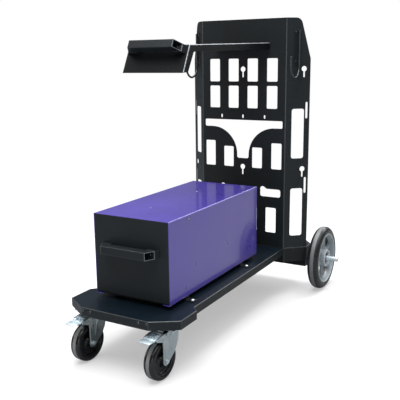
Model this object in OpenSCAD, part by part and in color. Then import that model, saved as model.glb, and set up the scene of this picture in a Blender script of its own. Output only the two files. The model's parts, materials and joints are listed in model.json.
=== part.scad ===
// Welding cart: folded sheet-steel deck on two braked swivel casters and two large rear
// wheels, a slotted upright with swept-back wings and cable hooks, a top shelf with a
// push handle, and a long equipment case with a pull-out drawer on the deck.
// X runs across the cart, -Y is the front, +Z is up, and the floor is z = 0.

/* [Deck] */
// Y of the deck's front edge
deck_front_y = -574; // [-600:1:-560]
// Height of the deck's top face above the floor
deck_z = 196; // [192:1:200]
// Sheet thickness of the deck and the upright
sheet = 3; // [2.5:0.5:3]
// Half width of the wide front head
head_half = 208; // [204:1:214]
// Half width of the head's front edge, between the corner chamfers
head_front_half = 125; // [115:1:135]
// Length of the head along Y
head_len = 145; // [140:1:150]
// Half width of the narrower deck behind the head
waist_half = 187; // [185:1:190]
// Depth of the deck's folded edge
deck_flange = 28; // [24:1:31]
// Depth of the rear platform's folded edge
rear_flange = 58; // [54:1:62]
// Y of the rear platform's back edge
platform_back_y = 520; // [510:1:530]
// Y where the rear platform's cut back corners start
platform_corner_y = 437; // [430:1:444]

/* [Upright] */
// Y of the upright's front face
panel_y = 320; // [318:1:322]
// Half width of the flat panel between its two bends
panel_half = 183.5; // [182:0.5:185]
// Height of the upright's top edge
upright_top = 1101; // [1080:1:1120]
// Width of each swept-back wing
wing_w = 99; // [96:1:102]
// Angle of the wings behind the panel's plane
wing_angle = 40.8; // [38:0.1:43]

/* [Shelf and push handle] */
// Half width of the shelf
shelf_half = 114; // [108:1:118]
// Height of the shelf's top face where it meets the upright
shelf_root_z = 1010; // [1000:1:1020]
// Height of the shelf's top face at its front bend
shelf_front_z = 993; // [985:1:1000]
// Y of the shelf's front bend
shelf_front_y = -288; // [-300:1:-270]
// Depth of the shelf's folded sides
shelf_flange = 25; // [20:1:28]
// Thickness of the shelf's sheet
shelf_sheet = 2.5; // [2:0.5:3]
// Depth of a handle tube
handle_d = 32; // [28:1:36]
// Height of a handle tube
handle_h = 26; // [22:1:30]
// Half length of a handle tube on its front face
handle_half = 82; // [70:1:86]
// Clear finger space behind a handle tube
handle_gap = 15; // [14:1:18]

/* [Case and drawer] */
// Width of the case
case_w = 281; // [270:1:290]
// Height of the case
case_h = 265; // [255:1:275]
// Length of the case
case_len = 627; // [620:1:635]
// Y of the case's front face
case_front_y = -474; // [-480:1:-465]
// Height of the feet that the case stands on
foot_h = 15; // [12:1:18]
// Sheet thickness of the case
case_sheet = 1.5; // [1.2:0.1:1.5]
// Length of the drawer slides
slide_len = 500; // [450:10:550]

/* [Casters] */
// Diameter of a caster wheel
caster_d = 125; // [122:1:127]
// Tread width of a caster wheel
caster_w = 38; // [34:1:39]
// X of each caster's swivel axis
caster_x = 139; // [135:1:142]
// Y of the casters' swivel axes
caster_y = -492; // [-496:1:-488]
// Distance from the swivel axis to the wheel's axle
caster_trail = 40; // [36:1:42]
// Angle at which the casters stand at rest
caster_toe = -4; // [-6:1:6]

/* [Rear wheels] */
// Diameter of a rear wheel
rear_d = 260; // [250:1:264]
// Tread width of a rear wheel
rear_w = 46; // [42:1:48]
// X of each rear wheel's middle plane
rear_x = 295; // [294:1:300]
// Y of the rear axle
rear_y = 477; // [472:1:482]
// Diameter of the rear axle
axle_d = 20; // [16:1:22]
// Half length of the rear axle
axle_half = 365; // [360:1:375]

/* [Hidden] */
$fn = 48;

black = "#1d2022";
purple = "#4a2ea6";
zinc = "#b4bcc2";
rubber = "#26282b";
grey = "#8b9196";

fit = 0.05;                     // radial clearance of a pin in its hole
cut = 1;                        // how far a cutting shape runs past a face
under_deck = deck_z - sheet;
chamfer_dy = 52;
head_rear_y = deck_front_y + head_len;
waist_step = head_half - waist_half;
deck_rear_y = panel_y - 2;
wing_dir = [cos(wing_angle), sin(wing_angle)];
wing_in = [sin(wing_angle), -cos(wing_angle)];
flare_from = [panel_half, panel_y] + 2 * wing_in;
flare_to = flare_from + wing_w * wing_dir;
flare_y = flare_from[1] + (waist_half - flare_from[0]) * wing_dir[1] / wing_dir[0];
upright_bottom = deck_z;
platform_back_half = 192;

deck_outline = [
    [-head_front_half, deck_front_y], [head_front_half, deck_front_y],
    [head_half, deck_front_y + chamfer_dy], [head_half, head_rear_y],
    [waist_half, head_rear_y + waist_step], [waist_half, deck_rear_y],
    [-waist_half, deck_rear_y], [-waist_half, head_rear_y + waist_step],
    [-head_half, head_rear_y], [-head_half, deck_front_y + chamfer_dy]
];
platform_outline = [
    [-waist_half, deck_rear_y], [waist_half, deck_rear_y], [waist_half, flare_y],
    flare_to, [flare_to[0], platform_corner_y], [platform_back_half, platform_back_y],
    [-platform_back_half, platform_back_y], [-flare_to[0], platform_corner_y],
    [-flare_to[0], flare_to[1]], [-waist_half, flare_y]
];

function unit(v) = v / norm(v);
function left_of(v) = [-v[1], v[0]];

// The same counter-clockwise outline, moved inwards by d
function inset(p, d) = [
    for (i = [0:len(p) - 1])
        let (a = left_of(unit(p[i] - p[(i + len(p) - 1) % len(p)])),
             b = left_of(unit(p[(i + 1) % len(p)] - p[i])))
            p[i] + d * (a + b) / (1 + a * b)
];

// A flat sheet on top with its whole edge folded down
module folded_pan(outline, top, depth, t) {
    difference() {
        translate([0, 0, top - depth])
            linear_extrude(depth)
                polygon(outline);
        translate([0, 0, top - depth - cut])
            linear_extrude(depth - t + cut)
                polygon(inset(outline, t));
    }
}

module both_sides() {
    children();
    mirror([1, 0, 0])
        children();
}

// A flat slot with round corners, centred on the origin
module slot2d(w, h, r) {
    square([w - 2 * r, h], center = true);
    square([w, h - 2 * r], center = true);
    for (x = [-1, 1], y = [-1, 1])
        translate([x * (w / 2 - r), y * (h / 2 - r)])
            circle(r);
}

// A round head with a narrow slot below it, from the head's centre
module keyhole2d() {
    circle(10.5);
    translate([0, -16])
        slot2d(6.5, 32, 3);
}

// A dome-headed screw along -Z with its head's seat at z = 0, and its nut at z = -grip
module dome_screw(d, grip, tail = 6) {
    intersection() {
        translate([0, 0, -d * 0.72])
            sphere(d * 1.22);
        cylinder(h = d * 0.6, r = d);
    }
    translate([0, 0, -grip - tail])
        cylinder(h = grip + tail, r = d / 2);
    translate([0, 0, -grip - d * 0.8])
        nut(d);
}

module nut(d) {
    difference() {
        cylinder(h = d * 0.8, r = d, $fn = 6);
        translate([0, 0, -cut])
            cylinder(h = d * 0.8 + 2 * cut, r = d / 2 - 0.1);
    }
}

module hole(d, h) {
    translate([0, 0, -h / 2])
        cylinder(h = h, r = d / 2 + fit);
}

/* Deck and rear platform */

tab_screw_x = 156;
tab_screws_y = [-364, 33];
tab_screw_d = 6;
joint_bolt_x = [-140, 0, 140];
joint_bolt_z = deck_z - 16;
joint_bolt_d = 8;
channel_y = [caster_y - 58, caster_y + 52];
channel_half = 188;
channel_front_half = 152;
channel_chamfer = 19;
channel_sheet = 3;
channel_bottom = 164;
flange_screw_z = 185.5;
flange_screw_x = 90;
flange_screw_d = 5;
corner_rivet_x = head_front_half - 6;
corner_rivet_d = 4;
plate_bolt_d = 8;
plate_bolt_x = 38;
plate_bolt_y = 29;

module at_tab_screws() {
    both_sides()
        for (y = tab_screws_y)
            translate([tab_screw_x, y, 0])
                children();
}

module at_joint_bolts() {
    for (x = joint_bolt_x)
        translate([x, deck_rear_y, joint_bolt_z])
            rotate([90, 0, 0])
                children();
}

module at_flange_screws() {
    both_sides()
        translate([flange_screw_x, deck_front_y, flange_screw_z])
            rotate([90, 0, 0])
                children();
}

module at_corner_rivets() {
    both_sides()
        translate([corner_rivet_x, deck_front_y, flange_screw_z + 1])
            rotate([90, 0, 0])
                children();
}

module at_plate_bolts() {
    for (side = [-1, 1], x = [-1, 1], y = [-1, 1])
        translate([side * caster_x + x * plate_bolt_x, caster_y + y * plate_bolt_y, 0])
            children();
}

module deck() {
    color(black)
        difference() {
            folded_pan(deck_outline, deck_z, deck_flange, sheet);
            at_tab_screws()
                translate([0, 0, deck_z])
                    hole(tab_screw_d, 20);
            at_joint_bolts()
                hole(joint_bolt_d, 20);
            at_flange_screws()
                hole(flange_screw_d, 20);
            at_corner_rivets()
                hole(corner_rivet_d, 20);
        }
}

// A tray across the head that carries the caster plates, with a lip to the deck's edge
module caster_channel() {
    depth = under_deck - channel_bottom;
    lip = [deck_front_y + sheet, channel_y[0] + channel_sheet - deck_front_y - sheet];
    lip_half = head_front_half - 2;
    outline = [
        [-channel_front_half, channel_y[0]], [channel_front_half, channel_y[0]],
        [channel_half, channel_y[0] + channel_chamfer], [channel_half, channel_y[1]],
        [-channel_half, channel_y[1]], [-channel_half, channel_y[0] + channel_chamfer]
    ];
    color(black)
        difference() {
            union() {
                translate([0, 0, channel_bottom])
                    linear_extrude(depth)
                        polygon(outline);
                translate([-lip_half, lip[0], under_deck - 16])
                    cube([2 * lip_half, lip[1], 16]);
            }
            translate([0, 0, channel_bottom + channel_sheet])
                linear_extrude(depth)
                    polygon(inset(outline, channel_sheet));
            translate([-head_half, lip[0] + channel_sheet, under_deck - 16 - cut])
                cube([2 * head_half, lip[1] - 2 * channel_sheet, 16 - 2 + cut]);
            translate([0, 0, channel_bottom])
                at_plate_bolts()
                    hole(plate_bolt_d, 20);
            at_flange_screws()
                hole(flange_screw_d, 24);
            at_corner_rivets()
                hole(corner_rivet_d, 24);
        }
}

module flange_screws() {
    color(black) {
        at_flange_screws()
            dome_screw(flange_screw_d, sheet + channel_sheet);
        at_corner_rivets() {
            translate([0, 0, -sheet - channel_sheet - 1])
                cylinder(h = sheet + channel_sheet + 1, r = corner_rivet_d / 2);
            cylinder(h = 1.8, r = corner_rivet_d * 0.8);
        }
    }
}

module rear_platform() {
    color(black)
        difference() {
            folded_pan(platform_outline, deck_z, rear_flange, sheet);
            at_joint_bolts()
                hole(joint_bolt_d, 20);
            at_upright_feet()
                hole(upright_bolt_d, 20);
            translate([0, rear_y, rear_d / 2])
                rotate([0, 90, 0])
                    cylinder(h = 700, r = axle_d / 2 + 1.5, center = true);
            at_carrier_bolts()
                hole(carrier_bolt_d, 20);
        }
}

// An inverted tray under the platform whose side walls hold the rear axle
carrier_gap = 0.75;
carrier_front_y = 386;
carrier_bottom = 110;
carrier_bolt_d = 8;
carrier_bolts = [[-200, 410], [200, 410], [-150, 500], [150, 500]];
carrier_half = flare_to[0] - sheet - carrier_gap;
carrier_back_y = platform_back_y - sheet - carrier_gap;
corner_run = unit([platform_back_half - flare_to[0], platform_back_y - platform_corner_y]);
corner_from = [flare_to[0], platform_corner_y] + (sheet + carrier_gap) * left_of(corner_run);

function on_corner_x(x) =
    [x, corner_from[1] + (x - corner_from[0]) * corner_run[1] / corner_run[0]];
function on_corner_y(y) =
    [corner_from[0] + (y - corner_from[1]) * corner_run[0] / corner_run[1], y];

module at_carrier_bolts() {
    for (p = carrier_bolts)
        translate([p[0], p[1], deck_z])
            children();
}

module axle_carrier() {
    side = on_corner_x(carrier_half);
    back = on_corner_y(carrier_back_y);
    outline = [
        [-carrier_half, carrier_front_y], [carrier_half, carrier_front_y],
        side, back, [-back[0], back[1]], [-side[0], side[1]]
    ];
    color(black)
        difference() {
            folded_pan(outline, under_deck, under_deck - carrier_bottom, sheet);
            translate([0, rear_y, rear_d / 2])
                rotate([0, 90, 0])
                    cylinder(h = 700, r = axle_d / 2 + fit, center = true);
            at_carrier_bolts()
                hole(carrier_bolt_d, 20);
        }
}

module joint_bolts() {
    color(zinc) {
        translate([0, -sheet, 0])
            at_joint_bolts()
                dome_screw(joint_bolt_d, 2 * sheet);
        at_carrier_bolts()
            dome_screw(carrier_bolt_d, 2 * sheet);
    }
}

/* Upright */

upright_bolt_d = 8;
upright_foot = 30;
upright_bolt_x = [-150, -50, 50, 150];
slot_r = 5;
column_x = [42, 126];
column_w = 45;
// rows of panel slots, each [columns, width, bottom, top]
panel_rows = [
    [column_x, column_w, 862, 951],
    [column_x, column_w, 757, 845],
    [column_x, column_w, 255, 358]
];
low_slots = [[147.5, 517, 621], [63.5, 517, 600]];
keyhole_z = [910, 519];
vee_top = 709;
vee_shelf = 680;
vee_half = 172;
vee_bottom = 554;
vee_arc_x = 138;
vee_arc_r = 112;

module at_upright_feet() {
    for (x = upright_bolt_x)
        translate([x, panel_y + sheet + upright_foot / 2, deck_z])
            children();
}

// Openings of the flat panel, drawn in X and Z
module panel_cuts2d() {
    for (row = panel_rows, x = row[0], side = [-1, 1])
        translate([side * x, (row[2] + row[3]) / 2])
            slot2d(row[1], row[3] - row[2], slot_r);
    for (s = low_slots, side = [-1, 1])
        translate([side * s[0], (s[1] + s[2]) / 2])
            slot2d(column_w - 1, s[2] - s[1], slot_r);
    for (z = keyhole_z)
        translate([0, z])
            keyhole2d();
    for (x = [-95, 0, 95])
        translate([x, 724])
            slot2d(7, 14, 3.4);
    wave_slot2d();
    mirror([1, 0])
        wave_slot2d();
    vee2d();
}

// A low slot whose top rises in a hump at its inner end
module wave_slot2d() {
    translate([123, 419])
        slot2d(88, 32, 8);
    translate([90, 433])
        circle(11.5);
    translate([79, 420])
        square([22, 12]);
    difference() {
        translate([96, 430])
            square([14, 9]);
        translate([109.5, 443])
            circle(8);
    }
}

// A wide strip with a neck below it between two quarter-round shoulders
module vee2d() {
    translate([0, (vee_top + vee_shelf) / 2])
        slot2d(2 * vee_half, vee_top - vee_shelf, slot_r);
    difference() {
        translate([-vee_arc_x, vee_bottom + 8])
            square([2 * vee_arc_x, vee_shelf + slot_r - vee_bottom - 8]);
        for (side = [-1, 1]) {
            translate([side * vee_arc_x, vee_shelf - vee_arc_r])
                circle(vee_arc_r);
            translate([side * vee_arc_x, vee_bottom])
                square([2 * vee_arc_r, 2 * (vee_shelf - vee_arc_r - vee_bottom)], center = true);
        }
    }
    translate([0, vee_bottom + 12])
        slot2d(2 * (vee_arc_x - vee_arc_r), 24, 8);
}

// Wing outline and openings: s from the bend, z up
wing_round = 26;
slant_drop = 153;
slant_dir = unit([-39, 147]);
slant_out = [slant_dir[1], -slant_dir[0]];
slant_foot = [wing_w, upright_top - slant_drop];
round_z = upright_top - wing_round;
round_s = slant_foot[0] - (round_z - slant_foot[1]) * slant_out[1] / slant_out[0]
    - wing_round / slant_out[0];
module wing_cuts2d() {
    difference() {
        translate([1, slant_foot[1]])
            square([wing_w, slant_drop + cut]);
        polygon([
            [0, slant_foot[1] - 50], [wing_w, slant_foot[1] - 50], slant_foot,
            [round_s, round_z] + wing_round * slant_out, [round_s, round_z],
            [round_s, upright_top + 2 * cut], [0, upright_top + 2 * cut]
        ]);
        translate([round_s, round_z])
            circle(wing_round);
    }
    for (z = keyhole_z)
        translate([73.5, z])
            keyhole2d();
    for (z = [751, 453])
        translate([86.5, z])
            slot2d(9, 64, 4.2);
    for (z = [659.5, 343.5])
        translate([51.5, z])
            slot2d(51, 195, 9);
    for (z = hook_screw_z)
        translate([hook_screw_s, z])
            circle(hook_screw_d / 2 + fit);
}

// Places a flat shape drawn in s and z on the right wing; its front face is y = 0
module on_wing() {
    translate([panel_half, panel_y, 0])
        rotate([0, 0, wing_angle])
            children();
}

// The bent sheet seen from above: the right half, from the front bend round the wing
wing_back = sheet * [-wing_dir[1], wing_dir[0]];
half_plan = [
    [panel_half, panel_y],
    [panel_half, panel_y] + wing_w * wing_dir,
    [panel_half, panel_y] + wing_w * wing_dir + wing_back,
    [panel_half - sheet * tan(wing_angle / 2), panel_y + sheet]
];
upright_plan = concat(half_plan, [for (i = [3:-1:0]) [-half_plan[i][0], half_plan[i][1]]]);

module upright() {
    color(black)
        difference() {
            union() {
                translate([0, 0, upright_bottom])
                    linear_extrude(upright_top - upright_bottom)
                        polygon(upright_plan);
                translate([-170, panel_y + sheet - cut, upright_bottom])
                    cube([340, upright_foot + cut, sheet]);
            }
            translate([0, panel_y + sheet + cut, 0])
                rotate([90, 0, 0])
                    linear_extrude(sheet + 2 * cut)
                        panel_cuts2d();
            both_sides()
                on_wing()
                    translate([0, sheet + cut, 0])
                        rotate([90, 0, 0])
                            linear_extrude(sheet + 2 * cut)
                                wing_cuts2d();
            at_upright_feet()
                hole(upright_bolt_d, 20);
            at_shelf_bolts()
                hole(shelf_bolt_d, 20);
        }
}

module upright_bolts() {
    color(zinc)
        at_upright_feet()
            translate([0, 0, sheet])
                dome_screw(upright_bolt_d, 2 * sheet);
}

/* Shelf and push handle */

shelf_bolt_d = 6;
shelf_bolt_x = [-80, 0, 80];
shelf_bolt_z = shelf_root_z - 14;
plate_bottom = [-330, 909];
plate_dir = unit([shelf_front_y, shelf_front_z] - plate_bottom);
plate_out = [-plate_dir[1], plate_dir[0]];
plate_lean = atan2(plate_dir[0], plate_dir[1]);
bar_drop = 5;

module at_shelf_bolts() {
    for (x = shelf_bolt_x)
        translate([x, panel_y, shelf_bolt_z])
            rotate([90, 0, 0])
                children();
}

// Extrudes a shape drawn in Y and Z along X
module along_x(x, w) {
    translate([x, 0, 0])
        rotate([90, 0, 90])
            linear_extrude(w)
                children();
}

// Origin on the front plate at its top bend, +Y out of the plate's front, +Z up the plate
module on_plate() {
    translate([0, shelf_front_y, shelf_front_z])
        rotate([-plate_lean, 0, 0])
            children();
}

module shelf() {
    t = shelf_sheet;
    root = [panel_y, shelf_root_z];
    bend = [shelf_front_y, shelf_front_z];
    slope = (root[1] - bend[1]) / (root[0] - bend[0]);
    back = (1 - plate_dir[0]) / (plate_dir[1] - plate_dir[0] * slope);
    inner_bend = bend + t * [back, back * slope - 1];
    inner_bottom = plate_bottom - t * plate_out;
    color(black)
        difference() {
            union() {
                along_x(-shelf_half, 2 * shelf_half)
                    polygon([
                        root, bend, plate_bottom, inner_bottom, inner_bend, root - [0, t]
                    ]);
                for (x = [-shelf_half, shelf_half - t])
                    along_x(x, t)
                        polygon([
                            root, bend, plate_bottom, plate_bottom + [28, 0],
                            bend + [23, -22], root - [0, shelf_flange]
                        ]);
                translate([-shelf_half + 1, panel_y - t, shelf_root_z - shelf_flange])
                    cube([2 * shelf_half - 2, t, shelf_flange - 1]);
            }
            at_shelf_bolts()
                hole(shelf_bolt_d, 20);
            on_plate()
                at_handle_screws()
                    hole(handle_screw_d, 20);
        }
}

module shelf_bolts() {
    color(zinc)
        translate([0, -shelf_sheet, 0])
            at_shelf_bolts()
                dome_screw(shelf_bolt_d, shelf_sheet + sheet);
}

/* A handle: a flat tube with bevelled open ends on two spacer blocks. The origin is on
   the mounting face at the tube's top edge, and the tube stands out along -Y. */

handle_wall = 2;
handle_bevel = 28;
handle_screw_d = 6;
handle_screw_x = 82;

function bevel_x(depth) = handle_half + depth * tan(handle_bevel);

module at_handle_screws() {
    for (side = [-1, 1])
        translate([side * handle_screw_x, 0, -bar_drop - handle_h / 2])
            rotate([90, 0, 0])
                children();
}

module handle_bar() {
    front = -handle_gap - handle_d;
    wide = bevel_x(handle_d);
    difference() {
        translate([0, 0, -bar_drop - handle_h])
            linear_extrude(handle_h)
                polygon([
                    [-handle_half, front], [handle_half, front],
                    [wide, -handle_gap], [-wide, -handle_gap]
                ]);
        translate([-2 * wide, front + handle_wall, -bar_drop - handle_h + handle_wall])
            cube([4 * wide, handle_d - 2 * handle_wall, handle_h - 2 * handle_wall]);
        at_handle_screws()
            hole(handle_screw_d, 2 * (handle_gap + handle_wall) + 4);
    }
}

module handle_stubs() {
    difference() {
        translate([0, 0, -bar_drop - handle_h])
            linear_extrude(handle_h)
                both_sides()
                    polygon([
                        [bevel_x(handle_d) - 32, 0], [bevel_x(handle_d) - 32, -handle_gap],
                        [bevel_x(handle_d), -handle_gap],
                        [bevel_x(handle_d + handle_gap), 0]
                    ]);
        at_handle_screws()
            hole(handle_screw_d, 3 * handle_gap);
    }
}

module handle_screws(backing) {
    translate([0, -handle_gap - handle_wall, 0])
        at_handle_screws()
            dome_screw(handle_screw_d, handle_gap + handle_wall + backing);
}

module push_handle_stubs() {
    color(black)
        on_plate()
            handle_stubs();
}

module push_handle_bar() {
    color(black)
        on_plate()
            handle_bar();
}

module push_handle_screws() {
    color(zinc)
        on_plate()
            handle_screws(shelf_sheet);
}

/* Cable hooks on the wings */

hook_rod = 8;
hook_strap_t = 3;
hook_screw_d = 5;
hook_screw_s = 38;
hook_screw_z = [1046, 937];
hook_s = 50.5;
hook_bend_r = 43;
hook_bend_z = 921;
hook_shank_top = 1054;
hook_tip_z = 956;
hook_off = hook_strap_t + hook_rod / 2;
hook_at = [panel_half, panel_y] + hook_s * wing_dir + hook_off * wing_in;

module hook_straps() {
    color(black)
        both_sides()
            on_wing()
                translate([30, -hook_strap_t, 925])
                    difference() {
                        cube([25, hook_strap_t, 132]);
                        for (z = hook_screw_z)
                            translate([hook_screw_s - 30, 0, z - 925])
                                rotate([90, 0, 0])
                                    hole(hook_screw_d, 20);
                    }
}

module cable_hooks() {
    color(black)
        both_sides()
            translate([hook_at[0], hook_at[1], hook_bend_z]) {
                cylinder(h = hook_shank_top - hook_bend_z, r = hook_rod / 2);
                translate([0, -2 * hook_bend_r, 0])
                    cylinder(h = hook_tip_z - hook_bend_z, r = hook_rod / 2);
                translate([0, -hook_bend_r, 0])
                    rotate([0, -90, 0])
                        rotate([0, 0, 90])
                            rotate_extrude(angle = 180)
                                translate([hook_bend_r, 0])
                                    circle(hook_rod / 2);
            }
}

module hook_screws() {
    color(black)
        both_sides()
            on_wing()
                for (z = hook_screw_z)
                    translate([hook_screw_s, -hook_strap_t, z])
                        rotate([90, 0, 0])
                            dome_screw(hook_screw_d, hook_strap_t + sheet);
}

/* Equipment case */

case_bottom = deck_z + foot_h;
case_top = case_bottom + case_h;
case_back_y = case_front_y + case_len;
case_half = case_w / 2;
case_in = case_half - case_sheet;
lip_w = 25;
floor_z = case_bottom + case_sheet;
foot_x = 95;
feet_y = [case_front_y + 60, case_back_y - 60];
tab_t = 3;
rivet_d = 4;
tab_len = 28;
tab_leg_x = case_half - 7.5;
tab_rivet_x = tab_leg_x - 8;

module case_feet() {
    color(rubber)
        for (side = [-1, 1], y = feet_y)
            translate([side * foot_x, y, deck_z])
                cylinder(h = foot_h + case_sheet, r = 15);
}

module case_base() {
    color(black)
        difference() {
            translate([-case_in, case_front_y + 4, floor_z])
                cube([2 * case_in, case_len - 4 - 2 * case_sheet, case_sheet]);
            at_tab_rivets()
                hole(rivet_d, 20);
        }
}

module case_sleeve() {
    color(purple)
        translate([0, case_front_y, case_bottom])
            difference() {
                translate([-case_half, 0, 0])
                    cube([case_w, case_len, case_h]);
                translate([-case_in, -cut, case_sheet])
                    cube([2 * case_in, case_len + 2 * cut, case_h - 2 * case_sheet]);
                translate([-case_in + lip_w, -cut, -cut])
                    cube([2 * (case_in - lip_w), case_len + 2 * cut, case_h / 2]);
                translate([0, -case_front_y, -case_bottom]) {
                    at_tab_rivets()
                        hole(rivet_d, 20);
                    at_side_rivets()
                        hole(rivet_d, 8);
                    at_top_rivets() {
                        hole(rivet_d, 8);
                        translate([0, 0, -flush_head])
                            cylinder(h = 5, r = rivet_d * 0.8);
                    }
                }
            }
}

module case_back() {
    color(black)
        translate([-case_in, case_back_y - 2 * case_sheet, floor_z])
            cube([2 * case_in, 2 * case_sheet, case_h - 2 * case_sheet]);
}

module at_tab_rivets() {
    both_sides()
        for (y = tab_screws_y)
            translate([tab_rivet_x, y, case_bottom - tab_t])
                rotate([180, 0, 0])
                    children();
}

// Stepped brackets under the case that hold it down on the deck
module hold_down_tabs() {
    color(black)
        difference() {
            both_sides()
                for (y = tab_screws_y)
                    translate([tab_leg_x, y - tab_len / 2, deck_z]) {
                        cube([tab_t, tab_len, case_bottom - deck_z]);
                        cube([34, tab_len, tab_t]);
                        translate([-15, 0, case_bottom - deck_z - tab_t])
                            cube([15 + tab_t, tab_len, tab_t]);
                    }
            at_tab_screws()
                translate([0, 0, deck_z])
                    hole(tab_screw_d, 20);
            at_tab_rivets()
                hole(rivet_d, 20);
        }
}

module tab_screws() {
    color(zinc)
        at_tab_screws()
            translate([0, 0, deck_z + tab_t])
                dome_screw(tab_screw_d, tab_t + sheet);
}

top_rivets = [[-18, -28], [-18, -330]];
side_rivet = [-358, case_top - 14];
flush_head = 0.8;

module rivet(grip) {
    translate([0, 0, -grip - 0.5])
        cylinder(h = grip + 0.5, r = rivet_d / 2);
    cylinder(h = 1.2, r = rivet_d * 0.8);
}

// Heads let into the sheet, so that the top of the case stays flat
module flush_rivet(grip) {
    translate([0, 0, -grip - 0.5])
        cylinder(h = grip + 0.5, r = rivet_d / 2);
    translate([0, 0, -flush_head])
        cylinder(h = flush_head, r = rivet_d * 0.8);
}

module at_side_rivets() {
    both_sides()
        translate([case_half, side_rivet[0], side_rivet[1]])
            rotate([0, 90, 0])
                children();
}

module at_top_rivets() {
    for (p = top_rivets)
        translate([p[0], p[1], case_top])
            children();
}

module case_rivets() {
    color(black) {
        at_side_rivets()
            rivet(case_sheet);
        at_top_rivets()
            flush_rivet(case_sheet);
    }
    color(zinc)
        at_tab_rivets()
            rivet(2 * case_sheet + tab_t);
}

/* Drawer slides: three nested channels a side, seen from the front as open boxes */

slide_z = case_bottom + 100;
slide_y = case_front_y + 8;
slide_t = 1.2;
slide_w = 12.6;
slide_h = 45;
slide_gap = 0.8;

// A channel against x = 0, open towards -X
module channel2d(h, w, t) {
    difference() {
        translate([-w, -h / 2])
            square([w, h]);
        translate([-w - cut, -h / 2 + t])
            square([w - t + cut, h - 2 * t]);
    }
}

module slide_member(level) {
    step = slide_t + slide_gap;
    both_sides()
        translate([case_in - level * step, slide_y, slide_z])
            rotate([90, 0, 0])
                mirror([0, 0, 1])
                    linear_extrude(slide_len)
                        channel2d(slide_h - 2 * level * step, slide_w - level * step, slide_t);
}

module slide_outers() {
    color(zinc)
        slide_member(0);
}

module slide_middles() {
    color(zinc)
        slide_member(1);
}

// The inner members reach past the others to the drawer's side
module slide_inners() {
    color(zinc)
        both_sides()
            translate([case_in - slide_w - 1, slide_y, slide_z - 16])
                cube([slide_w + 1 - 2 * (slide_t + slide_gap), slide_len, 32]);
}

drawer_side = case_in - slide_w - 1;
drawer_bottom = floor_z + 8;
drawer_top = drawer_bottom + 205;
drawer_len = case_len - 30;
drawer_t = 1.5;
front_t = 3;
front_bottom = case_bottom + 6;
front_top = case_top - case_sheet - 1;
front_half = case_in - 1;

module drawer_tray() {
    color(black)
        translate([-drawer_side, case_front_y + front_t, drawer_bottom])
            difference() {
                cube([2 * drawer_side, drawer_len, drawer_top - drawer_bottom]);
                translate([drawer_t, drawer_t, drawer_t])
                    cube([2 * (drawer_side - drawer_t), drawer_len - 2 * drawer_t,
                          drawer_top - drawer_bottom]);
                drawer_handle_at(-drawer_side)
                    at_handle_screws()
                        hole(handle_screw_d, 20);
            }
}

handle_z = 386;

// The drawer handle's mounting origin, for a shape whose own origin is at x = from
module drawer_handle_at(from = 0) {
    if (from == 0)
        translate([0, case_front_y, handle_z + bar_drop])
            children();
    else
        translate([-from, -front_t, handle_z + bar_drop - drawer_bottom])
            children();
}

module drawer_front() {
    color(black)
        difference() {
            translate([-front_half, case_front_y, front_bottom])
                cube([2 * front_half, front_t, front_top - front_bottom]);
            drawer_handle_at()
                at_handle_screws()
                    hole(handle_screw_d, 20);
        }
}

module drawer_handle_stubs() {
    color(black)
        drawer_handle_at()
            handle_stubs();
}

module drawer_handle_bar() {
    color(black)
        drawer_handle_at()
            handle_bar();
}

module drawer_handle_screws() {
    color(zinc)
        drawer_handle_at()
            handle_screws(front_t + drawer_t);
}

module drawer_bumpers() {
    reach = case_back_y - 2 * case_sheet - (case_front_y + front_t + drawer_len);
    color(rubber)
        for (x = [-90, 90])
            translate([x, case_back_y - 2 * case_sheet, drawer_bottom + 100])
                rotate([90, 0, 0])
                    cylinder(h = reach - 0.5, r = 9);
}

/* Casters: local origin on the swivel axis at floor level, -Y towards the wheel */

plate_t = 4;
plate_size = [100, 80];
plate_under = channel_bottom - plate_t;
race_h = 7;
race_r = 31;
kingpin_d = 12;
fork_sheet = 3;
fork_half = 25;
crown_z = plate_under - race_h - 1;
axle_z = caster_d / 2;
pedal_pivot = [-34, 146];
pedal_pin_d = 6;
pedal_half = 20;
bush_r = 6;
caster_bolt_d = 8;
hub_half = fork_half - fork_sheet - 0.5;

module at_caster(side) {
    translate([side * caster_x, caster_y, 0])
        rotate([0, 0, caster_toe])
            children();
}

module at_caster_axle() {
    translate([0, -caster_trail, axle_z])
        rotate([0, 90, 0])
            children();
}

module at_pedal_pin() {
    translate([0, pedal_pivot[0], pedal_pivot[1]])
        rotate([0, 90, 0])
            children();
}

module caster_plates() {
    color(zinc)
        for (side = [-1, 1])
            difference() {
                union() {
                    translate([side * caster_x - plate_size[0] / 2,
                               caster_y - plate_size[1] / 2, plate_under])
                        cube([plate_size[0], plate_size[1], plate_t]);
                    translate([side * caster_x, caster_y, plate_under - race_h])
                        cylinder(h = race_h, r = race_r);
                }
                translate([side * caster_x, caster_y, 0])
                    cylinder(h = 300, r = kingpin_d / 2 + fit);
                translate([0, 0, plate_under])
                    at_plate_bolts()
                        hole(plate_bolt_d, 20);
            }
}

module caster_plate_bolts() {
    color(zinc)
        translate([0, 0, channel_bottom + channel_sheet])
            at_plate_bolts()
                dome_screw(plate_bolt_d, channel_sheet + plate_t);
}

module kingpins() {
    color(zinc)
        for (side = [-1, 1])
            translate([side * caster_x, caster_y, 0]) {
                translate([0, 0, crown_z - fork_sheet - 10])
                    cylinder(h = channel_bottom - crown_z + fork_sheet + 10, r = kingpin_d / 2);
                translate([0, 0, crown_z - fork_sheet - 9])
                    nut(kingpin_d * 0.9);
            }
}

// Side outline of a fork leg, in Y and Z
module fork_leg2d() {
    front = -caster_trail - 14;
    difference() {
        polygon([
            [front, axle_z], [front, 128], [front - 29, 138], [front - 32, 144],
            [front - 20, 149], [front + 6, crown_z], [25, crown_z],
            [24, 122], [17, 100], [3, 78], [-caster_trail + 11, axle_z - 9],
            [-caster_trail, axle_z]
        ]);
    }
    translate([-caster_trail, axle_z])
        circle(14);
}

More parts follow.
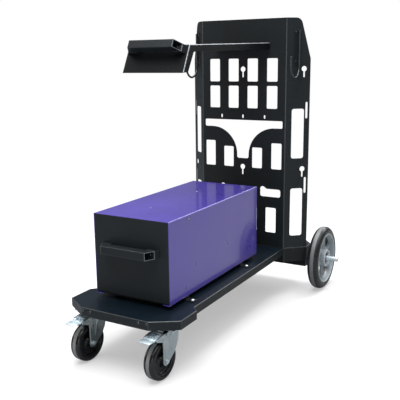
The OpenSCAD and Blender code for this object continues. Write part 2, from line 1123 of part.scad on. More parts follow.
module fork() {
    color(zinc)
        difference() {
            union() {
                for (x = [-fork_half, fork_half - fork_sheet])
                    along_x(x, fork_sheet)
                        fork_leg2d();
                translate([-fork_half, -26, crown_z - fork_sheet])
                    cube([2 * fork_half, 51, fork_sheet]);
                translate([0, 0, crown_z - fork_sheet])
                    cylinder(h = fork_sheet, r = race_r - 1);
            }
            cylinder(h = 300, r = kingpin_d / 2 + fit);
            at_caster_axle()
                cylinder(h = 100, r = caster_bolt_d / 2 + fit, center = true);
            at_pedal_pin()
                cylinder(h = 100, r = pedal_pin_d / 2 + fit, center = true);
        }
}

// The pedal's side arms turn on the pin; its plate reaches out in front of the fork
module pedal() {
    color(zinc)
        difference() {
            union() {
                for (x = [-pedal_half, pedal_half - 3])
                    along_x(x, 3) {
                        translate(pedal_pivot)
                            circle(5.5);
                        polygon([
                            pedal_pivot + [0, -5.5], pedal_pivot + [0, 5.5],
                            [-60, 152], [-76, 149], [-76, 143], [-60, 138]
                        ]);
                    }
                along_x(-pedal_half, 2 * pedal_half)
                    polygon([[-54, 152.5], [-54, 149.5], [-90, 141], [-90, 144]]);
                along_x(-pedal_half - 2, 2 * pedal_half + 4)
                    polygon([
                        [-89, 141], [-89, 144], [-100, 145.5], [-115, 144],
                        [-115, 141.5], [-100, 142.5]
                    ]);
                translate([-pedal_half, -66, 129.5])
                    cube([2 * pedal_half, 8, 14]);
            }
            at_pedal_pin()
                cylinder(h = 100, r = pedal_pin_d / 2 + fit, center = true);
        }
}

module pedal_pin() {
    color(zinc)
        at_pedal_pin() {
            cylinder(h = 2 * fork_half + 3, r = pedal_pin_d / 2, center = true);
            for (side = [-1, 1])
                translate([0, 0, side * (fork_half + 0.9)])
                    cylinder(h = 1.8, r = pedal_pin_d / 2 + 1.5, center = true);
        }
}

module caster_axle_bolt() {
    color(zinc)
        at_caster_axle() {
            cylinder(h = 2 * fork_half + 16, r = caster_bolt_d / 2, center = true);
            translate([0, 0, fork_half])
                cylinder(h = 5.5, r = 7.5, $fn = 6);
            translate([0, 0, -fork_half - 7])
                cylinder(h = 7, r = 7.5, $fn = 6);
        }
}

module caster_bush() {
    color(zinc)
        at_caster_axle()
            difference() {
                cylinder(h = 2 * (fork_half - fork_sheet), r = bush_r, center = true);
                cylinder(h = 100, r = caster_bolt_d / 2 + fit, center = true);
            }
}

module caster_hub() {
    color(rubber)
        at_caster_axle()
            difference() {
                union() {
                    cylinder(h = 2 * hub_half, r = 15, center = true);
                    cylinder(h = 10, r = 45, center = true);
                    difference() {
                        cylinder(h = caster_w - 6, r = 47, center = true);
                        cylinder(h = caster_w, r = 42, center = true);
                    }
                }
                cylinder(h = 100, r = bush_r + fit, center = true);
            }
}

// Section of a tyre in radius and width: flat sides, round shoulders
module tyre2d(r, inner, w, round) {
    translate([inner, -w / 2])
        square([r - round - inner, w]);
    translate([inner, -w / 2 + round])
        square([r - inner, w - 2 * round]);
    intersection() {
        for (side = [-1, 1])
            translate([r - round, side * (w / 2 - round)])
                circle(round);
        translate([r - round - 1, -w / 2])
            square([round + 1, w]);
    }
}

module caster_tyre() {
    color(rubber)
        at_caster_axle()
            rotate_extrude()
                tyre2d(caster_d / 2, 47, caster_w, 11);
}

module left_fork() { at_caster(-1) fork(); }
module right_fork() { at_caster(1) fork(); }
module left_pedal() { at_caster(-1) pedal(); }
module right_pedal() { at_caster(1) pedal(); }
module left_pedal_pin() { at_caster(-1) pedal_pin(); }
module right_pedal_pin() { at_caster(1) pedal_pin(); }
module left_axle_bolt() { at_caster(-1) caster_axle_bolt(); }
module right_axle_bolt() { at_caster(1) caster_axle_bolt(); }
module left_bush() { at_caster(-1) caster_bush(); }
module right_bush() { at_caster(1) caster_bush(); }
module left_caster_hub() { at_caster(-1) caster_hub(); }
module right_caster_hub() { at_caster(1) caster_hub(); }
module left_caster_tyre() { at_caster(-1) caster_tyre(); }
module right_caster_tyre() { at_caster(1) caster_tyre(); }

/* Rear wheels on the fixed axle */

rim_r = 103;
hub_r = 36;
hub_out = 23;
hub_in = 25;
bearing_r = 23.5;
bearing_w = 14;
spokes = 6;
spoke_t = 24;
spoke_z = [-14, 2];
spoke_turn = 52;
pin_out = hub_out + 7;

module at_rear(side) {
    translate([side * rear_x, rear_y, rear_d / 2])
        rotate([0, side * 90, 0])
            children();
}

module rear_axle() {
    color(zinc)
        translate([0, rear_y, rear_d / 2])
            rotate([0, 90, 0])
                difference() {
                    cylinder(h = 2 * axle_half, r = axle_d / 2, center = true);
                    for (side = [-1, 1])
                        translate([0, 0, side * (rear_x + pin_out)])
                            rotate([90, 0, 0])
                                cylinder(h = 60, r = 2 + fit, center = true);
                }
}

module axle_washers() {
    color(zinc)
        for (side = [-1, 1])
            at_rear(side)
                difference() {
                    union() {
                        translate([0, 0, hub_out + 0.4])
                            cylinder(h = 3, r = 17);
                        translate([0, 0, -hub_in - 3.4])
                            cylinder(h = 3, r = 17);
                    }
                    cylinder(h = 100, r = axle_d / 2 + fit, center = true);
                }
}

module split_pins() {
    color(zinc)
        for (side = [-1, 1])
            at_rear(side)
                translate([0, 0, pin_out])
                    rotate([90, 0, 0]) {
                        cylinder(h = 32, r = 2, center = true);
                        translate([0, 0, 15])
                            sphere(3.4);
                    }
}

module rear_tyre(side) {
    color(rubber)
        at_rear(side)
            rotate_extrude()
                tyre2d(rear_d / 2, rim_r, rear_w, 16);
}

module rear_rim(side) {
    color(grey)
        at_rear(side)
            difference() {
                union() {
                    difference() {
                        cylinder(h = rear_w - 2, r = rim_r, center = true);
                        cylinder(h = rear_w, r = rim_r - 7, center = true);
                    }
                    translate([0, 0, -hub_in])
                        cylinder(h = hub_in + hub_out, r = hub_r);
                    for (i = [0:spokes - 1])
                        rotate([0, 0, 360 * i / spokes + spoke_turn])
                            translate([hub_r - 4, -spoke_t / 2, spoke_z[0]])
                                cube([rim_r - hub_r, spoke_t, spoke_z[1] - spoke_z[0]]);
                }
                cylinder(h = 100, r = bearing_r - 4, center = true);
                for (end = [-hub_in - cut, hub_out - bearing_w])
                    translate([0, 0, end])
                        cylinder(h = bearing_w + cut, r = bearing_r);
            }
}

module rear_bearings(side) {
    color(zinc)
        at_rear(side)
            for (z = [-hub_in, hub_out - bearing_w])
                translate([0, 0, z])
                    difference() {
                        cylinder(h = bearing_w, r = bearing_r);
                        translate([0, 0, -cut])
                            cylinder(h = bearing_w + 2 * cut, r = axle_d / 2 + fit);
                    }
}

module left_rear_tyre() { rear_tyre(-1); }
module right_rear_tyre() { rear_tyre(1); }
module left_rear_rim() { rear_rim(-1); }
module right_rear_rim() { rear_rim(1); }
module left_rear_bearings() { rear_bearings(-1); }
module right_rear_bearings() { rear_bearings(1); }

deck();
caster_channel();
flange_screws();
rear_platform();
axle_carrier();
joint_bolts();
upright();
upright_bolts();
shelf();
shelf_bolts();
push_handle_stubs();
push_handle_bar();
push_handle_screws();
hook_straps();
cable_hooks();
hook_screws();
case_feet();
case_base();
case_sleeve();
case_back();
hold_down_tabs();
tab_screws();
case_rivets();
slide_outers();
slide_middles();
slide_inners();
drawer_bumpers();
drawer_tray();
drawer_front();
drawer_handle_stubs();
drawer_handle_bar();
drawer_handle_screws();
caster_plates();
caster_plate_bolts();
kingpins();
left_fork();
left_pedal();
left_pedal_pin();
left_axle_bolt();
left_bush();
left_caster_hub();
left_caster_tyre();
right_fork();
right_pedal();
right_pedal_pin();
right_axle_bolt();
right_bush();
right_caster_hub();
right_caster_tyre();
rear_axle();
axle_washers();
split_pins();
left_rear_tyre();
left_rear_rim();
left_rear_bearings();
right_rear_tyre();
right_rear_rim();
right_rear_bearings();
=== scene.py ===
import json
import math

import bmesh
import bpy
from mathutils import Matrix, Vector


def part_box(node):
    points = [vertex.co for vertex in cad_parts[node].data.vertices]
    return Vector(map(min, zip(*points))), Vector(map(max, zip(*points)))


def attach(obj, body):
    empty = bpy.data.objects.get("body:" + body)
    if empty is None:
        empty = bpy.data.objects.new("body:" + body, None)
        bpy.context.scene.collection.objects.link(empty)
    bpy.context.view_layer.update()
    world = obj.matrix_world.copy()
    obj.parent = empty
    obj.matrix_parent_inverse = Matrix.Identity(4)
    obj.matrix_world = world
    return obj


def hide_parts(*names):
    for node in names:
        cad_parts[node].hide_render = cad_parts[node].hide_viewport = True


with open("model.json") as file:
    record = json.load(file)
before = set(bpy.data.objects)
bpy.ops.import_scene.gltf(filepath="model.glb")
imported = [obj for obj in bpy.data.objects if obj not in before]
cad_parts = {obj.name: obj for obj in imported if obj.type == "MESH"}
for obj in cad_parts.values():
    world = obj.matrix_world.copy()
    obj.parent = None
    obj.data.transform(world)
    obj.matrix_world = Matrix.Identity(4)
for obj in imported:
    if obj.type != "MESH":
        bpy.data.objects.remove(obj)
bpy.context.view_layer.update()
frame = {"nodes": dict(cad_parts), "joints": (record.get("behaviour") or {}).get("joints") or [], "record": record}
NODES = frame["nodes"]
JOINTS = {j["name"]: j for j in frame["joints"]}
BODY = {n: b for b, ns in frame["record"]["behaviour"]["bodies"].items() for n in ns}
MM = 0.001


# ---------------------------------------------------------------- materials

class Graph:
    """A material's node tree, with short calls for the nodes used here."""

    def __init__(self, name):
        self.mat = bpy.data.materials.new(name)
        self.mat.use_nodes = True
        self.tree = self.mat.node_tree
        self.shader = self.tree.nodes["Principled BSDF"]
        self.place = self.add("ShaderNodeTexCoord").outputs["Object"]

    def add(self, kind, **settings):
        node = self.tree.nodes.new(kind)
        for key, value in settings.items():
            setattr(node, key, value)
        return node

    def link(self, a, b):
        self.tree.links.new(a, b)

    def noise(self, scale, detail=2.0, rough=0.5, stretch=None):
        node = self.add("ShaderNodeTexNoise")
        node.inputs["Scale"].default_value = scale
        node.inputs["Detail"].default_value = detail
        node.inputs["Roughness"].default_value = rough
        if stretch:
            mapping = self.add("ShaderNodeMapping")
            mapping.inputs["Scale"].default_value = stretch
            self.link(self.place, mapping.inputs["Vector"])
            self.link(mapping.outputs[0], node.inputs["Vector"])
        else:
            self.link(self.place, node.inputs["Vector"])
        return node.outputs["Fac"]

    def spread(self, value, low, high, start=0.3, end=0.7):
        node = self.add("ShaderNodeMapRange")
        node.inputs["From Min"].default_value = start
        node.inputs["From Max"].default_value = end
        node.inputs["To Min"].default_value = low
        node.inputs["To Max"].default_value = high
        self.link(value, node.inputs["Value"])
        return node.outputs["Result"]

    def colours(self, value, stops):
        node = self.add("ShaderNodeValToRGB")
        ramp = node.color_ramp
        while len(ramp.elements) < len(stops):
            ramp.elements.new(0.5)
        for element, (place, colour) in zip(ramp.elements, stops):
            element.position = place
            element.color = (*colour, 1.0)
        self.link(value, node.inputs["Fac"])
        return node.outputs["Color"]

    def mix(self, factor, a, b):
        node = self.add("ShaderNodeMix", data_type="RGBA")
        self.link(factor, node.inputs["Factor"])
        for socket, value in ((node.inputs["A"], a), (node.inputs["B"], b)):
            if isinstance(value, tuple):
                socket.default_value = (*value, 1.0)
            else:
                self.link(value, socket)
        return node.outputs["Result"]

    def bump(self, layers):
        """Layers are (height, strength, distance in metres), fine ones first."""
        last = None
        for height, strength, distance in layers:
            node = self.add("ShaderNodeBump")
            node.inputs["Strength"].default_value = strength
            node.inputs["Distance"].default_value = distance
            self.link(height, node.inputs["Height"])
            if last:
                self.link(last, node.inputs["Normal"])
            last = node.outputs["Normal"]
        self.link(last, self.shader.inputs["Normal"])

    def set(self, **values):
        for key, value in values.items():
            socket = self.shader.inputs[key.replace("_", " ")]
            if isinstance(value, bpy.types.NodeSocket):
                self.link(value, socket)
            elif isinstance(value, tuple):
                socket.default_value = (*value, 1.0)
            else:
                socket.default_value = value
        return self.mat


def scaled(colour, k):
    return tuple(c * k for c in colour)


def powder_coat(name, colour, rough=0.42, peel=0.12, fleck=0.10, coat=0.0, spec=0.5, dust=0.0,
                mottle=0.15, even=False):
    """Sprayed and baked paint: orange peel, faint mottling and handling marks. An even
    coat has no handling marks."""
    g = Graph(name)
    broad = g.noise(9.0, 4.0, 0.6)
    fine = g.noise(1500.0, 2.0)
    rub = broad if even else g.noise(60.0, 5.0, 0.65, stretch=(1.0, 1.0, 3.0))
    base = g.colours(broad, [(0.25, scaled(colour, 1 - mottle)),
                             (0.75, scaled(colour, 1 + mottle))])
    flecked = g.mix(g.spread(fine, 0.0, fleck, 0.55, 0.8), base, scaled(colour, 2.6))
    if dust:
        flecked = g.mix(g.spread(rub, 0.0, dust, 0.52, 0.8), flecked, (0.20, 0.19, 0.18))
    g.bump([
        (g.noise(620.0, 2.0), peel, 0.0004),
        (g.noise(14.0, 2.0), 0.05, 0.002),
    ])
    return g.set(
        Base_Color=flecked,
        Roughness=g.spread(rub, rough - 0.06, rough + 0.08, 0.3, 0.75),
        Specular_IOR_Level=spec,
        Coat_Weight=coat,
        Coat_Roughness=0.08,
    )


def zinc_plate(name, colour=(0.55, 0.58, 0.60), rough=0.34, tint=(0.50, 0.56, 0.62), metal=1.0):
    """Bright zinc: faint cool and warm clouds, rolling marks and small scratches."""
    g = Graph(name)
    cloud = g.noise(38.0, 3.0, 0.55)
    grain = g.noise(900.0, 3.0, 0.6, stretch=(1.0, 0.06, 1.0))
    warm = g.colours(cloud, [(0.3, tint), (0.52, colour), (0.72, scaled(colour, 1.12))])
    g.bump([(grain, 0.04, 0.0002), (g.noise(160.0, 2.0), 0.02, 0.0005)])
    return g.set(
        Base_Color=warm,
        Metallic=metal,
        Roughness=g.spread(g.noise(120.0, 4.0), rough - 0.04, rough + 0.07),
    )


def rubber(name, colour, rough=0.5, bump=0.2, dusty=0.0, spec=0.5):
    g = Graph(name)
    broad = g.noise(22.0, 4.0, 0.6)
    fine = g.noise(1100.0, 3.0)
    base = g.colours(broad, [(0.25, scaled(colour, 0.82)), (0.75, scaled(colour, 1.2))])
    if dusty:
        base = g.mix(g.spread(g.noise(85.0, 6.0, 0.7), 0.0, dusty, 0.42, 0.7), base,
                     (0.30, 0.28, 0.25))
    g.bump([(fine, bump, 0.0004), (g.noise(70.0, 3.0), 0.05, 0.0015)])
    return g.set(
        Base_Color=base,
        Roughness=g.spread(g.noise(48.0, 4.0), rough - 0.07, rough + 0.09),
        Specular_IOR_Level=spec,
    )


BLACK = (0.0088, 0.0112, 0.0126)
M = {
    "coat": powder_coat("black_coat", BLACK, 0.42, spec=0.30),
    # The edge copy of the black coat is lighter and glossier: partly paint rubbed thin on the edges, partly a
    # painted highlight along the bends.
    "coat_edge": powder_coat("black_coat_edge", scaled(BLACK, 2.6), 0.22, spec=0.8),
    # The deck's top takes a darker, bluer copy of the black coat: painted shade and painted reflection on the top.
    # Its dust is real dust.
    "deck_coat": powder_coat("deck_coat", (0.0052, 0.0105, 0.0168), 0.34, spec=0.15, dust=0.01),
    # A lighter copy of the black coat for the upright's panel, the case back and the deck's upright faces: painted
    # light.
    "panel_coat": powder_coat("panel_coat", scaled(BLACK, 1.35), 0.46, spec=0.30),
    # A copy of the black coat twice as light for the upright's wings: painted light on the wings.
    "wing_coat": powder_coat("wing_coat", scaled(BLACK, 2.0), 0.46, spec=0.30),
    # A copy of the black coat half as light for the shelf: painted shade.
    "shelf_coat": powder_coat("shelf_coat", scaled(BLACK, 0.50), 0.42, spec=0.22),
    # A light grey on the shelf's side edges near its front: a painted highlight along those edges.
    "painted_edge_highlight": powder_coat("painted_edge_highlight", (0.34, 0.37, 0.40), 0.26, fleck=0.3, spec=0.9),
    # A light grey on the open ends of the handle bars: a painted highlight around the tube ends.
    "tube_end_highlight": powder_coat("tube_end_highlight", (0.13, 0.15, 0.165), 0.30, spec=0.6),
    # A lighter copy of the black coat for the drawer front and the handle bars: painted light.
    "front_coat": powder_coat("front_coat", scaled(BLACK, 1.4), 0.44, spec=0.30),
    "purple": powder_coat("purple_coat", (0.076, 0.048, 0.42), 0.32, peel=0.012, fleck=0.0,
                          coat=0.9, mottle=0.06, even=True),
    # A lighter purple on the case sleeve's rounded edges: a painted highlight.
    "purple_edge_highlight": powder_coat("purple_edge_highlight", (0.24, 0.19, 0.66), 0.24, peel=0.01,
                               fleck=0.0, coat=0.9, mottle=0.04, even=True),
    "screw": powder_coat("black_screw", (0.012, 0.012, 0.013), 0.28, peel=0.05, spec=0.6),
    "dark_screw": zinc_plate("blackened_screw", (0.10, 0.11, 0.12), 0.22, (0.06, 0.07, 0.08)),
    "zinc": zinc_plate("zinc_plate", (0.56, 0.61, 0.61), 0.30, (0.49, 0.57, 0.59), metal=1.0),
    # A lighter copy of the zinc for rounded edges: a painted highlight.
    "zinc_edge": zinc_plate("zinc_edge", (0.62, 0.66, 0.67), 0.26),
    "bright": zinc_plate("bright_zinc", (0.66, 0.76, 0.82), 0.46, (0.52, 0.66, 0.76), metal=0.8),
    # A near-white, less metallic zinc for the axle, the caster axle bolts and the tab screws: partly bright zinc,
    # partly a painted highlight.
    "axle": zinc_plate("axle_zinc", (0.84, 0.90, 0.94), 0.28, (0.72, 0.82, 0.90), metal=0.6),
    "slide": zinc_plate("slide_steel", (0.48, 0.50, 0.51), 0.38),
    "rubber": rubber("moulded_rubber", (0.016, 0.016, 0.017)),
    "caster_side": rubber("caster_side", (0.0060, 0.0062, 0.0066), 0.17, 0.03, spec=0.6),
    # The caster tread is light grey partly from dust and wear, partly as a painted sheen on the rubber.
    "caster_tread": rubber("caster_tread", (0.23, 0.235, 0.235), 0.42, 0.3, dusty=0.2),
    "tyre_side": rubber("tyre_side", (0.011, 0.013, 0.015), 0.30, 0.12, dusty=0.035, spec=0.5),
    # The tyre tread is light grey partly from dust and wear, partly as a painted sheen on the rubber.
    "tyre_tread": rubber("tyre_tread", (0.17, 0.178, 0.185), 0.46, 0.3, dusty=0.2),
    "hub": rubber("hub_plastic", (0.008, 0.009, 0.010), 0.24, 0.06, spec=0.5),
    "rim": powder_coat("grey_rim", (0.40, 0.455, 0.495), 0.36, peel=0.08, fleck=0.04),
    # A dark grey on the inboard half of the rim's barrel, behind the spokes: painted shade.
    "rim_painted_shade": powder_coat("grey_rim_painted_shade", (0.030, 0.034, 0.038), 0.46, peel=0.08, fleck=0.06),
    # A lighter grey on the rim's lips and the hub's rims: a painted highlight.
    "rim_edge": powder_coat("grey_rim_edge", (0.52, 0.58, 0.62), 0.28, peel=0.05, fleck=0.03),
    "seal": rubber("bearing_seal", (0.035, 0.024, 0.018), 0.5, 0.1),
    "race": zinc_plate("bearing_race", (0.26, 0.21, 0.17), 0.34, (0.16, 0.13, 0.11)),
}
# SHEET pairs the black coat with its lighter edge copy, so every rounded edge carries that painted highlight.
SHEET = ("coat", "coat_edge")
SCREW_HOLE = 10  # mm, the widest hole that a screw or rivet fills
CREASE = math.radians(24)  # an edge that turns less than this is part of a curve


# ---------------------------------------------------------------- mesh tools

def welded(node):
    """The CAD node's mesh with its vertices joined."""
    bm = bmesh.new()
    bm.from_mesh(NODES[node].data)
    bmesh.ops.remove_doubles(bm, verts=bm.verts, dist=2e-6)
    return bm


def extent(points):
    """The low and high corners of the points' box."""
    low = Vector([min(p[i] for p in points) for i in range(3)])
    high = Vector([max(p[i] for p in points) for i in range(3)])
    return low, high


def islands(node):
    """The separate solids of a CAD node, each as a list of points."""
    bm = welded(node)
    seen, found = set(), []
    for first in bm.verts:
        if first.index in seen:
            continue
        stack, part = [first], []
        seen.add(first.index)
        while stack:
            v = stack.pop()
            part.append(v.co.copy())
            for e in v.link_edges:
                other = e.other_vert(v)
                if other.index not in seen:
                    seen.add(other.index)
                    stack.append(other)
        found.append(part)
    bm.free()
    return found


def finish_mesh(name, bm, mats, body, nodes, angle=38.0):
    """Makes an object of a bmesh, smooth but for its sharp edges, riding on its body."""
    bmesh.ops.recalc_face_normals(bm, faces=bm.faces)
    mesh = bpy.data.meshes.new(name)
    bm.to_mesh(mesh)
    bm.free()
    for key in mats:
        mesh.materials.append(M[key])
    mesh.shade_smooth()
    mesh.set_sharp_from_angle(angle=math.radians(angle))
    obj = bpy.data.objects.new(name, mesh)
    bpy.context.scene.collection.objects.link(obj)
    if nodes:
        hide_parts(*nodes)
    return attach(obj, body)


def flatten(bm):
    """Joins the triangles of each flat face."""
    bmesh.ops.dissolve_limit(
        bm, angle_limit=math.radians(0.8), verts=bm.verts, edges=bm.edges
    )


def close_holes(bm, widest):
    """Fills the small round holes that a screw hides, so that flat faces stay whole. widest
    is in mm. Dicts stand for sets here, because they keep the same order each run."""
    small = dict.fromkeys(
        f for f in bm.faces
        if len(f.verts) == 4 and max(e.calc_length() for e in f.edges) < widest * MM
        and min(e.calc_length() for e in f.edges) < 3 * MM
    )
    done = set()
    doomed = []
    for first in small:
        if first in done:
            continue
        ring, stack = {}, [first]
        while stack:
            f = stack.pop()
            if f in ring:
                continue
            ring[f] = True
            stack += [n for e in f.edges for n in e.link_faces if n in small and n not in ring]
        done.update(ring)
        closed = all(
            sum(n in ring for e in f.edges for n in e.link_faces if n is not f) == 2 for f in ring
        )
        span = [v.co for f in ring for v in f.verts]
        size = max(max(p[i] for p in span) - min(p[i] for p in span) for i in range(3))
        if closed and len(ring) > 7 and size < widest * MM:
            doomed.append(ring)
    loops = []
    for ring in doomed:
        loops += [e for f in ring for e in f.edges
                  if sum(n in ring for n in e.link_faces) == 1]
        bmesh.ops.delete(bm, geom=list(ring), context="FACES_ONLY")
    loops = [e for e in dict.fromkeys(loops) if e.is_valid and len(e.link_faces) == 1]
    if loops:
        bmesh.ops.holes_fill(bm, edges=loops, sides=0)
        bmesh.ops.recalc_face_normals(bm, faces=bm.faces)
        flatten(bm)


def rounded(node, default=0.35, rules=(), mats=SHEET, segments=3, highlight_where=None):
    """A copy of a CAD node whose edges are rounded. Each rule is (test of an edge, radius
    in mm), and the last rule that an edge passes gives its radius. The rounded edges take
    the second material, or where a test of points is given, only those whose middle passes
    it. A third material goes on the upright faces."""
    bm = welded(node)
    flatten(bm)
    close_holes(bm, SCREW_HOLE)
    widest = max([default] + [r for _, r in rules])
    weight = bm.edges.layers.float.new("bevel_weight_edge")
    for e in bm.edges:
        if len(e.link_faces) != 2 or e.calc_face_angle(0) < CREASE:
            continue
        radius = default
        middle = (e.verts[0].co + e.verts[1].co) / 2
        along = (e.verts[1].co - e.verts[0].co).normalized()
        for test, value in rules:
            if test(middle, along):
                radius = value
        e[weight] = radius / widest
    mesh = bpy.data.meshes.new(node + "_body")
    bm.to_mesh(mesh)
    bm.free()
    for key in mats:
        mesh.materials.append(M[key])
    obj = bpy.data.objects.new(node + "_part", mesh)
    bpy.context.scene.collection.objects.link(obj)
    bevel = obj.modifiers.new("round", "BEVEL")
    bevel.limit_method = "WEIGHT"
    bevel.width = widest * MM
    bevel.segments = segments
    bevel.use_clamp_overlap = False
    bevel.loop_slide = False
    bevel.miter_outer = "MITER_ARC" if segments > 3 else "MITER_SHARP"
    if len(mats) > 1:
        bevel.material = 1
    bpy.context.view_layer.update()
    dg = bpy.context.evaluated_depsgraph_get()
    done = bpy.data.meshes.new_from_object(obj.evaluated_get(dg))
    obj.modifiers.clear()
    obj.data = done
    # Bevel faces that fail the test go back to the first material; on the shelf, those that pass keep the light
    # grey painted highlight.
    if highlight_where:
        for p in done.polygons:
            if p.material_index == 1 and not highlight_where(p.center):
                p.material_index = 0
    # Upright faces take the third material; on the deck that is a lighter copy of its coat, painted light on those
    # faces.
    if len(mats) > 2:
        for p in done.polygons:
            if p.material_index == 0 and abs(p.normal.z) < 0.5:
                p.material_index = 2
    done.shade_smooth()
    done.set_sharp_from_angle(angle=math.radians(40))
    smooth = obj.modifiers.new("flat_faces", "WEIGHTED_NORMAL")
    smooth.keep_sharp = True
    smooth.weight = 80
    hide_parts(node)
    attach(obj, BODY[node])
    return obj


def basis(place, axis, up=(0, 0, 1)):
    """A frame at place whose Z is axis."""
    z = Vector(axis).normalized()
    x = Vector(up).cross(z)
    if x.length < 1e-3:
        x = Vector((0, 1, 0)).cross(z)
    x.normalize()
    m = Matrix((x, z.cross(x), z)).transposed().to_4x4()
    m.translation = Vector(place)
    return m


def hexed(radius, angle):
    """The distance to a hexagon's side in the direction angle. radius is to its corners."""
    part = (math.degrees(angle) % 60) - 30
    return radius * math.cos(math.radians(30)) / math.cos(math.radians(part))


def kind_of(ring):
    return ring[2] if len(ring) > 2 else ()


def join_loops(bm, a, b, ring):
    """Faces from loop a to loop b, in the material that a's ring names."""
    index = next((x for x in kind_of(ring) if isinstance(x, int)), 0)
    for i in range(len(a)):
        j = (i + 1) % len(a)
        f = bm.faces.new((a[i], a[j], b[j], b[i]))
        f.material_index = index


def turned(bm, m, rings, n=24, caps=(True, True)):
    """Rings of (radius, height) or (radius, height, kind) in mm joined into a surface of
    turning. kind may hold "hex" for a hexagon, and a material number for the faces up to
    the next ring."""
    loops = []
    for ring in rings:
        radius, height = ring[0], ring[1]
        loop = []
        for i in range(n):
            a = 2 * math.pi * i / n
            r = hexed(radius, a) if "hex" in kind_of(ring) else radius
            point = Vector((r * math.cos(a), r * math.sin(a), height)) * MM
            loop.append(bm.verts.new(m @ point))
        loops.append(loop)
    for a, b, ring in zip(loops, loops[1:], rings):
        join_loops(bm, a, b, ring)
    if caps[0]:
        bm.faces.new(list(reversed(loops[0])))
    if caps[1]:
        bm.faces.new(loops[-1])
    return loops


def lathe(bm, m, rings, n=96):
    """A closed ring of material: the last ring of the profile joins the first."""
    loops = turned(bm, m, rings, n, (False, False))
    join_loops(bm, loops[-1], loops[0], rings[-1])


def mirrored(half, tread):
    """A tyre's closed profile from the half of it that ends in the middle of the tread.
    Material 1 starts at the ring numbered tread."""
    low = [(r, -h) if i < tread else (r, -h, (1,)) for i, (r, h) in enumerate(half)]
    high = [(r, h) if i <= tread else (r, h, (1,)) for i, (r, h) in enumerate(half[:-1])]
    return low + high[::-1]


def block(bm, m, outline, low, high, bevel=0.8, segments=2):
    """An extruded outline in mm with rounded edges, in frame m."""
    own = bmesh.new()
    bottom = [own.verts.new(Vector((x, y, low)) * MM) for x, y in outline]
    top = [own.verts.new(Vector((x, y, high)) * MM) for x, y in outline]
    count = len(outline)
    own.faces.new(list(reversed(bottom)))
    own.faces.new(top)
    for i in range(count):
        j = (i + 1) % count
        own.faces.new((bottom[i], bottom[j], top[j], top[i]))
    bmesh.ops.recalc_face_normals(own, faces=own.faces)
    bmesh.ops.bevel(own, geom=own.edges[:], offset=bevel * MM, segments=segments,
                    profile=0.5, affect="EDGES", clamp_overlap=True)
    own.transform(m)
    mesh = bpy.data.meshes.new("block")
    own.to_mesh(mesh)
    own.free()
    bm.from_mesh(mesh)
    bpy.data.meshes.remove(mesh)


def swept(bm, points, radius, n=20):
    """A round rod through points in metres, with rounded ends."""
    pts = [Vector(p) for p in points]
    side = None
    loops = []

    def loop(place, ahead, r):
        nonlocal side
        ahead = ahead.normalized()
        if side is None:
            side = ahead.orthogonal().normalized()
        side = (side - ahead * side.dot(ahead)).normalized()
        up = ahead.cross(side)
        loops.append([
            bm.verts.new(place + r * (side * math.cos(2 * math.pi * i / n)
                                      + up * math.sin(2 * math.pi * i / n)))
            for i in range(n)
        ])

    start, end = pts[1] - pts[0], pts[-1] - pts[-2]
    for k in (0.35, 0.75, 0.95):
        loop(pts[0] + start.normalized() * radius * 0.45 * (k - 0.35), start,
             radius * (0.55 + 0.45 * k))
    for i, p in enumerate(pts):
        if i == 0:
            loop(p + start.normalized() * radius * 0.5, start, radius)
        elif i == len(pts) - 1:
            loop(p - end.normalized() * radius * 0.5, end, radius)
        else:
            loop(p, pts[i + 1] - pts[i - 1], radius)
    for k in (0.95, 0.75, 0.35):
        loop(pts[-1] - end.normalized() * radius * 0.45 * (k - 0.35), end,
             radius * (0.55 + 0.45 * k))
    for a, b in zip(loops, loops[1:]):
        join_loops(bm, a, b, ())
    bm.faces.new(list(reversed(loops[0])))
    bm.faces.new(loops[-1])


# ---------------------------------------------------------------- fasteners

def screws(node, axis_of, d, nut=True, mats=("zinc",)):
    """Socket button screws of thread d mm in place of the node's plain ones. axis_of gives
    the head's direction from a solid's middle."""
    bm = bmesh.new()
    for points in islands(node):
        middle = sum(points, Vector()) / len(points)
        axis = Vector(axis_of(middle)).normalized()
        low = min(p.dot(axis) for p in points)
        high = max(p.dot(axis) for p in points)
        across = [p - axis * p.dot(axis) for p in points]
        lo, hi = extent(across)
        m = basis((lo + hi) / 2 + axis * high, axis)
        length = (high - low) / MM
        turned(bm, m, [
            (0.30 * d, -0.34 * d, ("hex",)), (0.30 * d, -0.02 * d, ("hex",)),
            (0.36 * d, 0.0), (0.60 * d, -0.05 * d), (0.80 * d, -0.15 * d),
            (0.93 * d, -0.29 * d), (0.985 * d, -0.42 * d), (0.985 * d, -0.5 * d),
            (0.5 * d, -0.5 * d), (0.5 * d, 0.6 - length), (0.42 * d, -length),
        ])
        if nut:
            seat = 6 - length
            turned(bm, m, [
                (0.52 * d, seat), (0.92 * d, seat), (0.99 * d, seat - 0.08 * d, ("hex",)),
                (0.99 * d, seat - 0.70 * d, ("hex",)), (0.88 * d, seat - 0.8 * d),
                (0.52 * d, seat - 0.8 * d),
            ], caps=(False, False))
    return finish_mesh(node + "_part", bm, mats, BODY[node], [node])


# ---------------------------------------------------------------- sheet metal

def near(value, target, tol=0.3):
    """Whether a value in metres is within tol mm of a target in mm."""
    return abs(value - target * MM) < tol * MM


_, deck_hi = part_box("deck")
TOP = deck_hi.z
TAB_SCREWS = (Vector((0.156, -0.364)), Vector((0.156, 0.033)))


def on_top(c):
    return abs(c.z - TOP) < 0.2 * MM


def by_tab_screw(c):
    """Whether a point is on the rim of a hold-down bracket's screw hole in the deck."""
    return any((Vector((abs(c.x), c.y)) - hole).length < 7 * MM for hole in TAB_SCREWS)


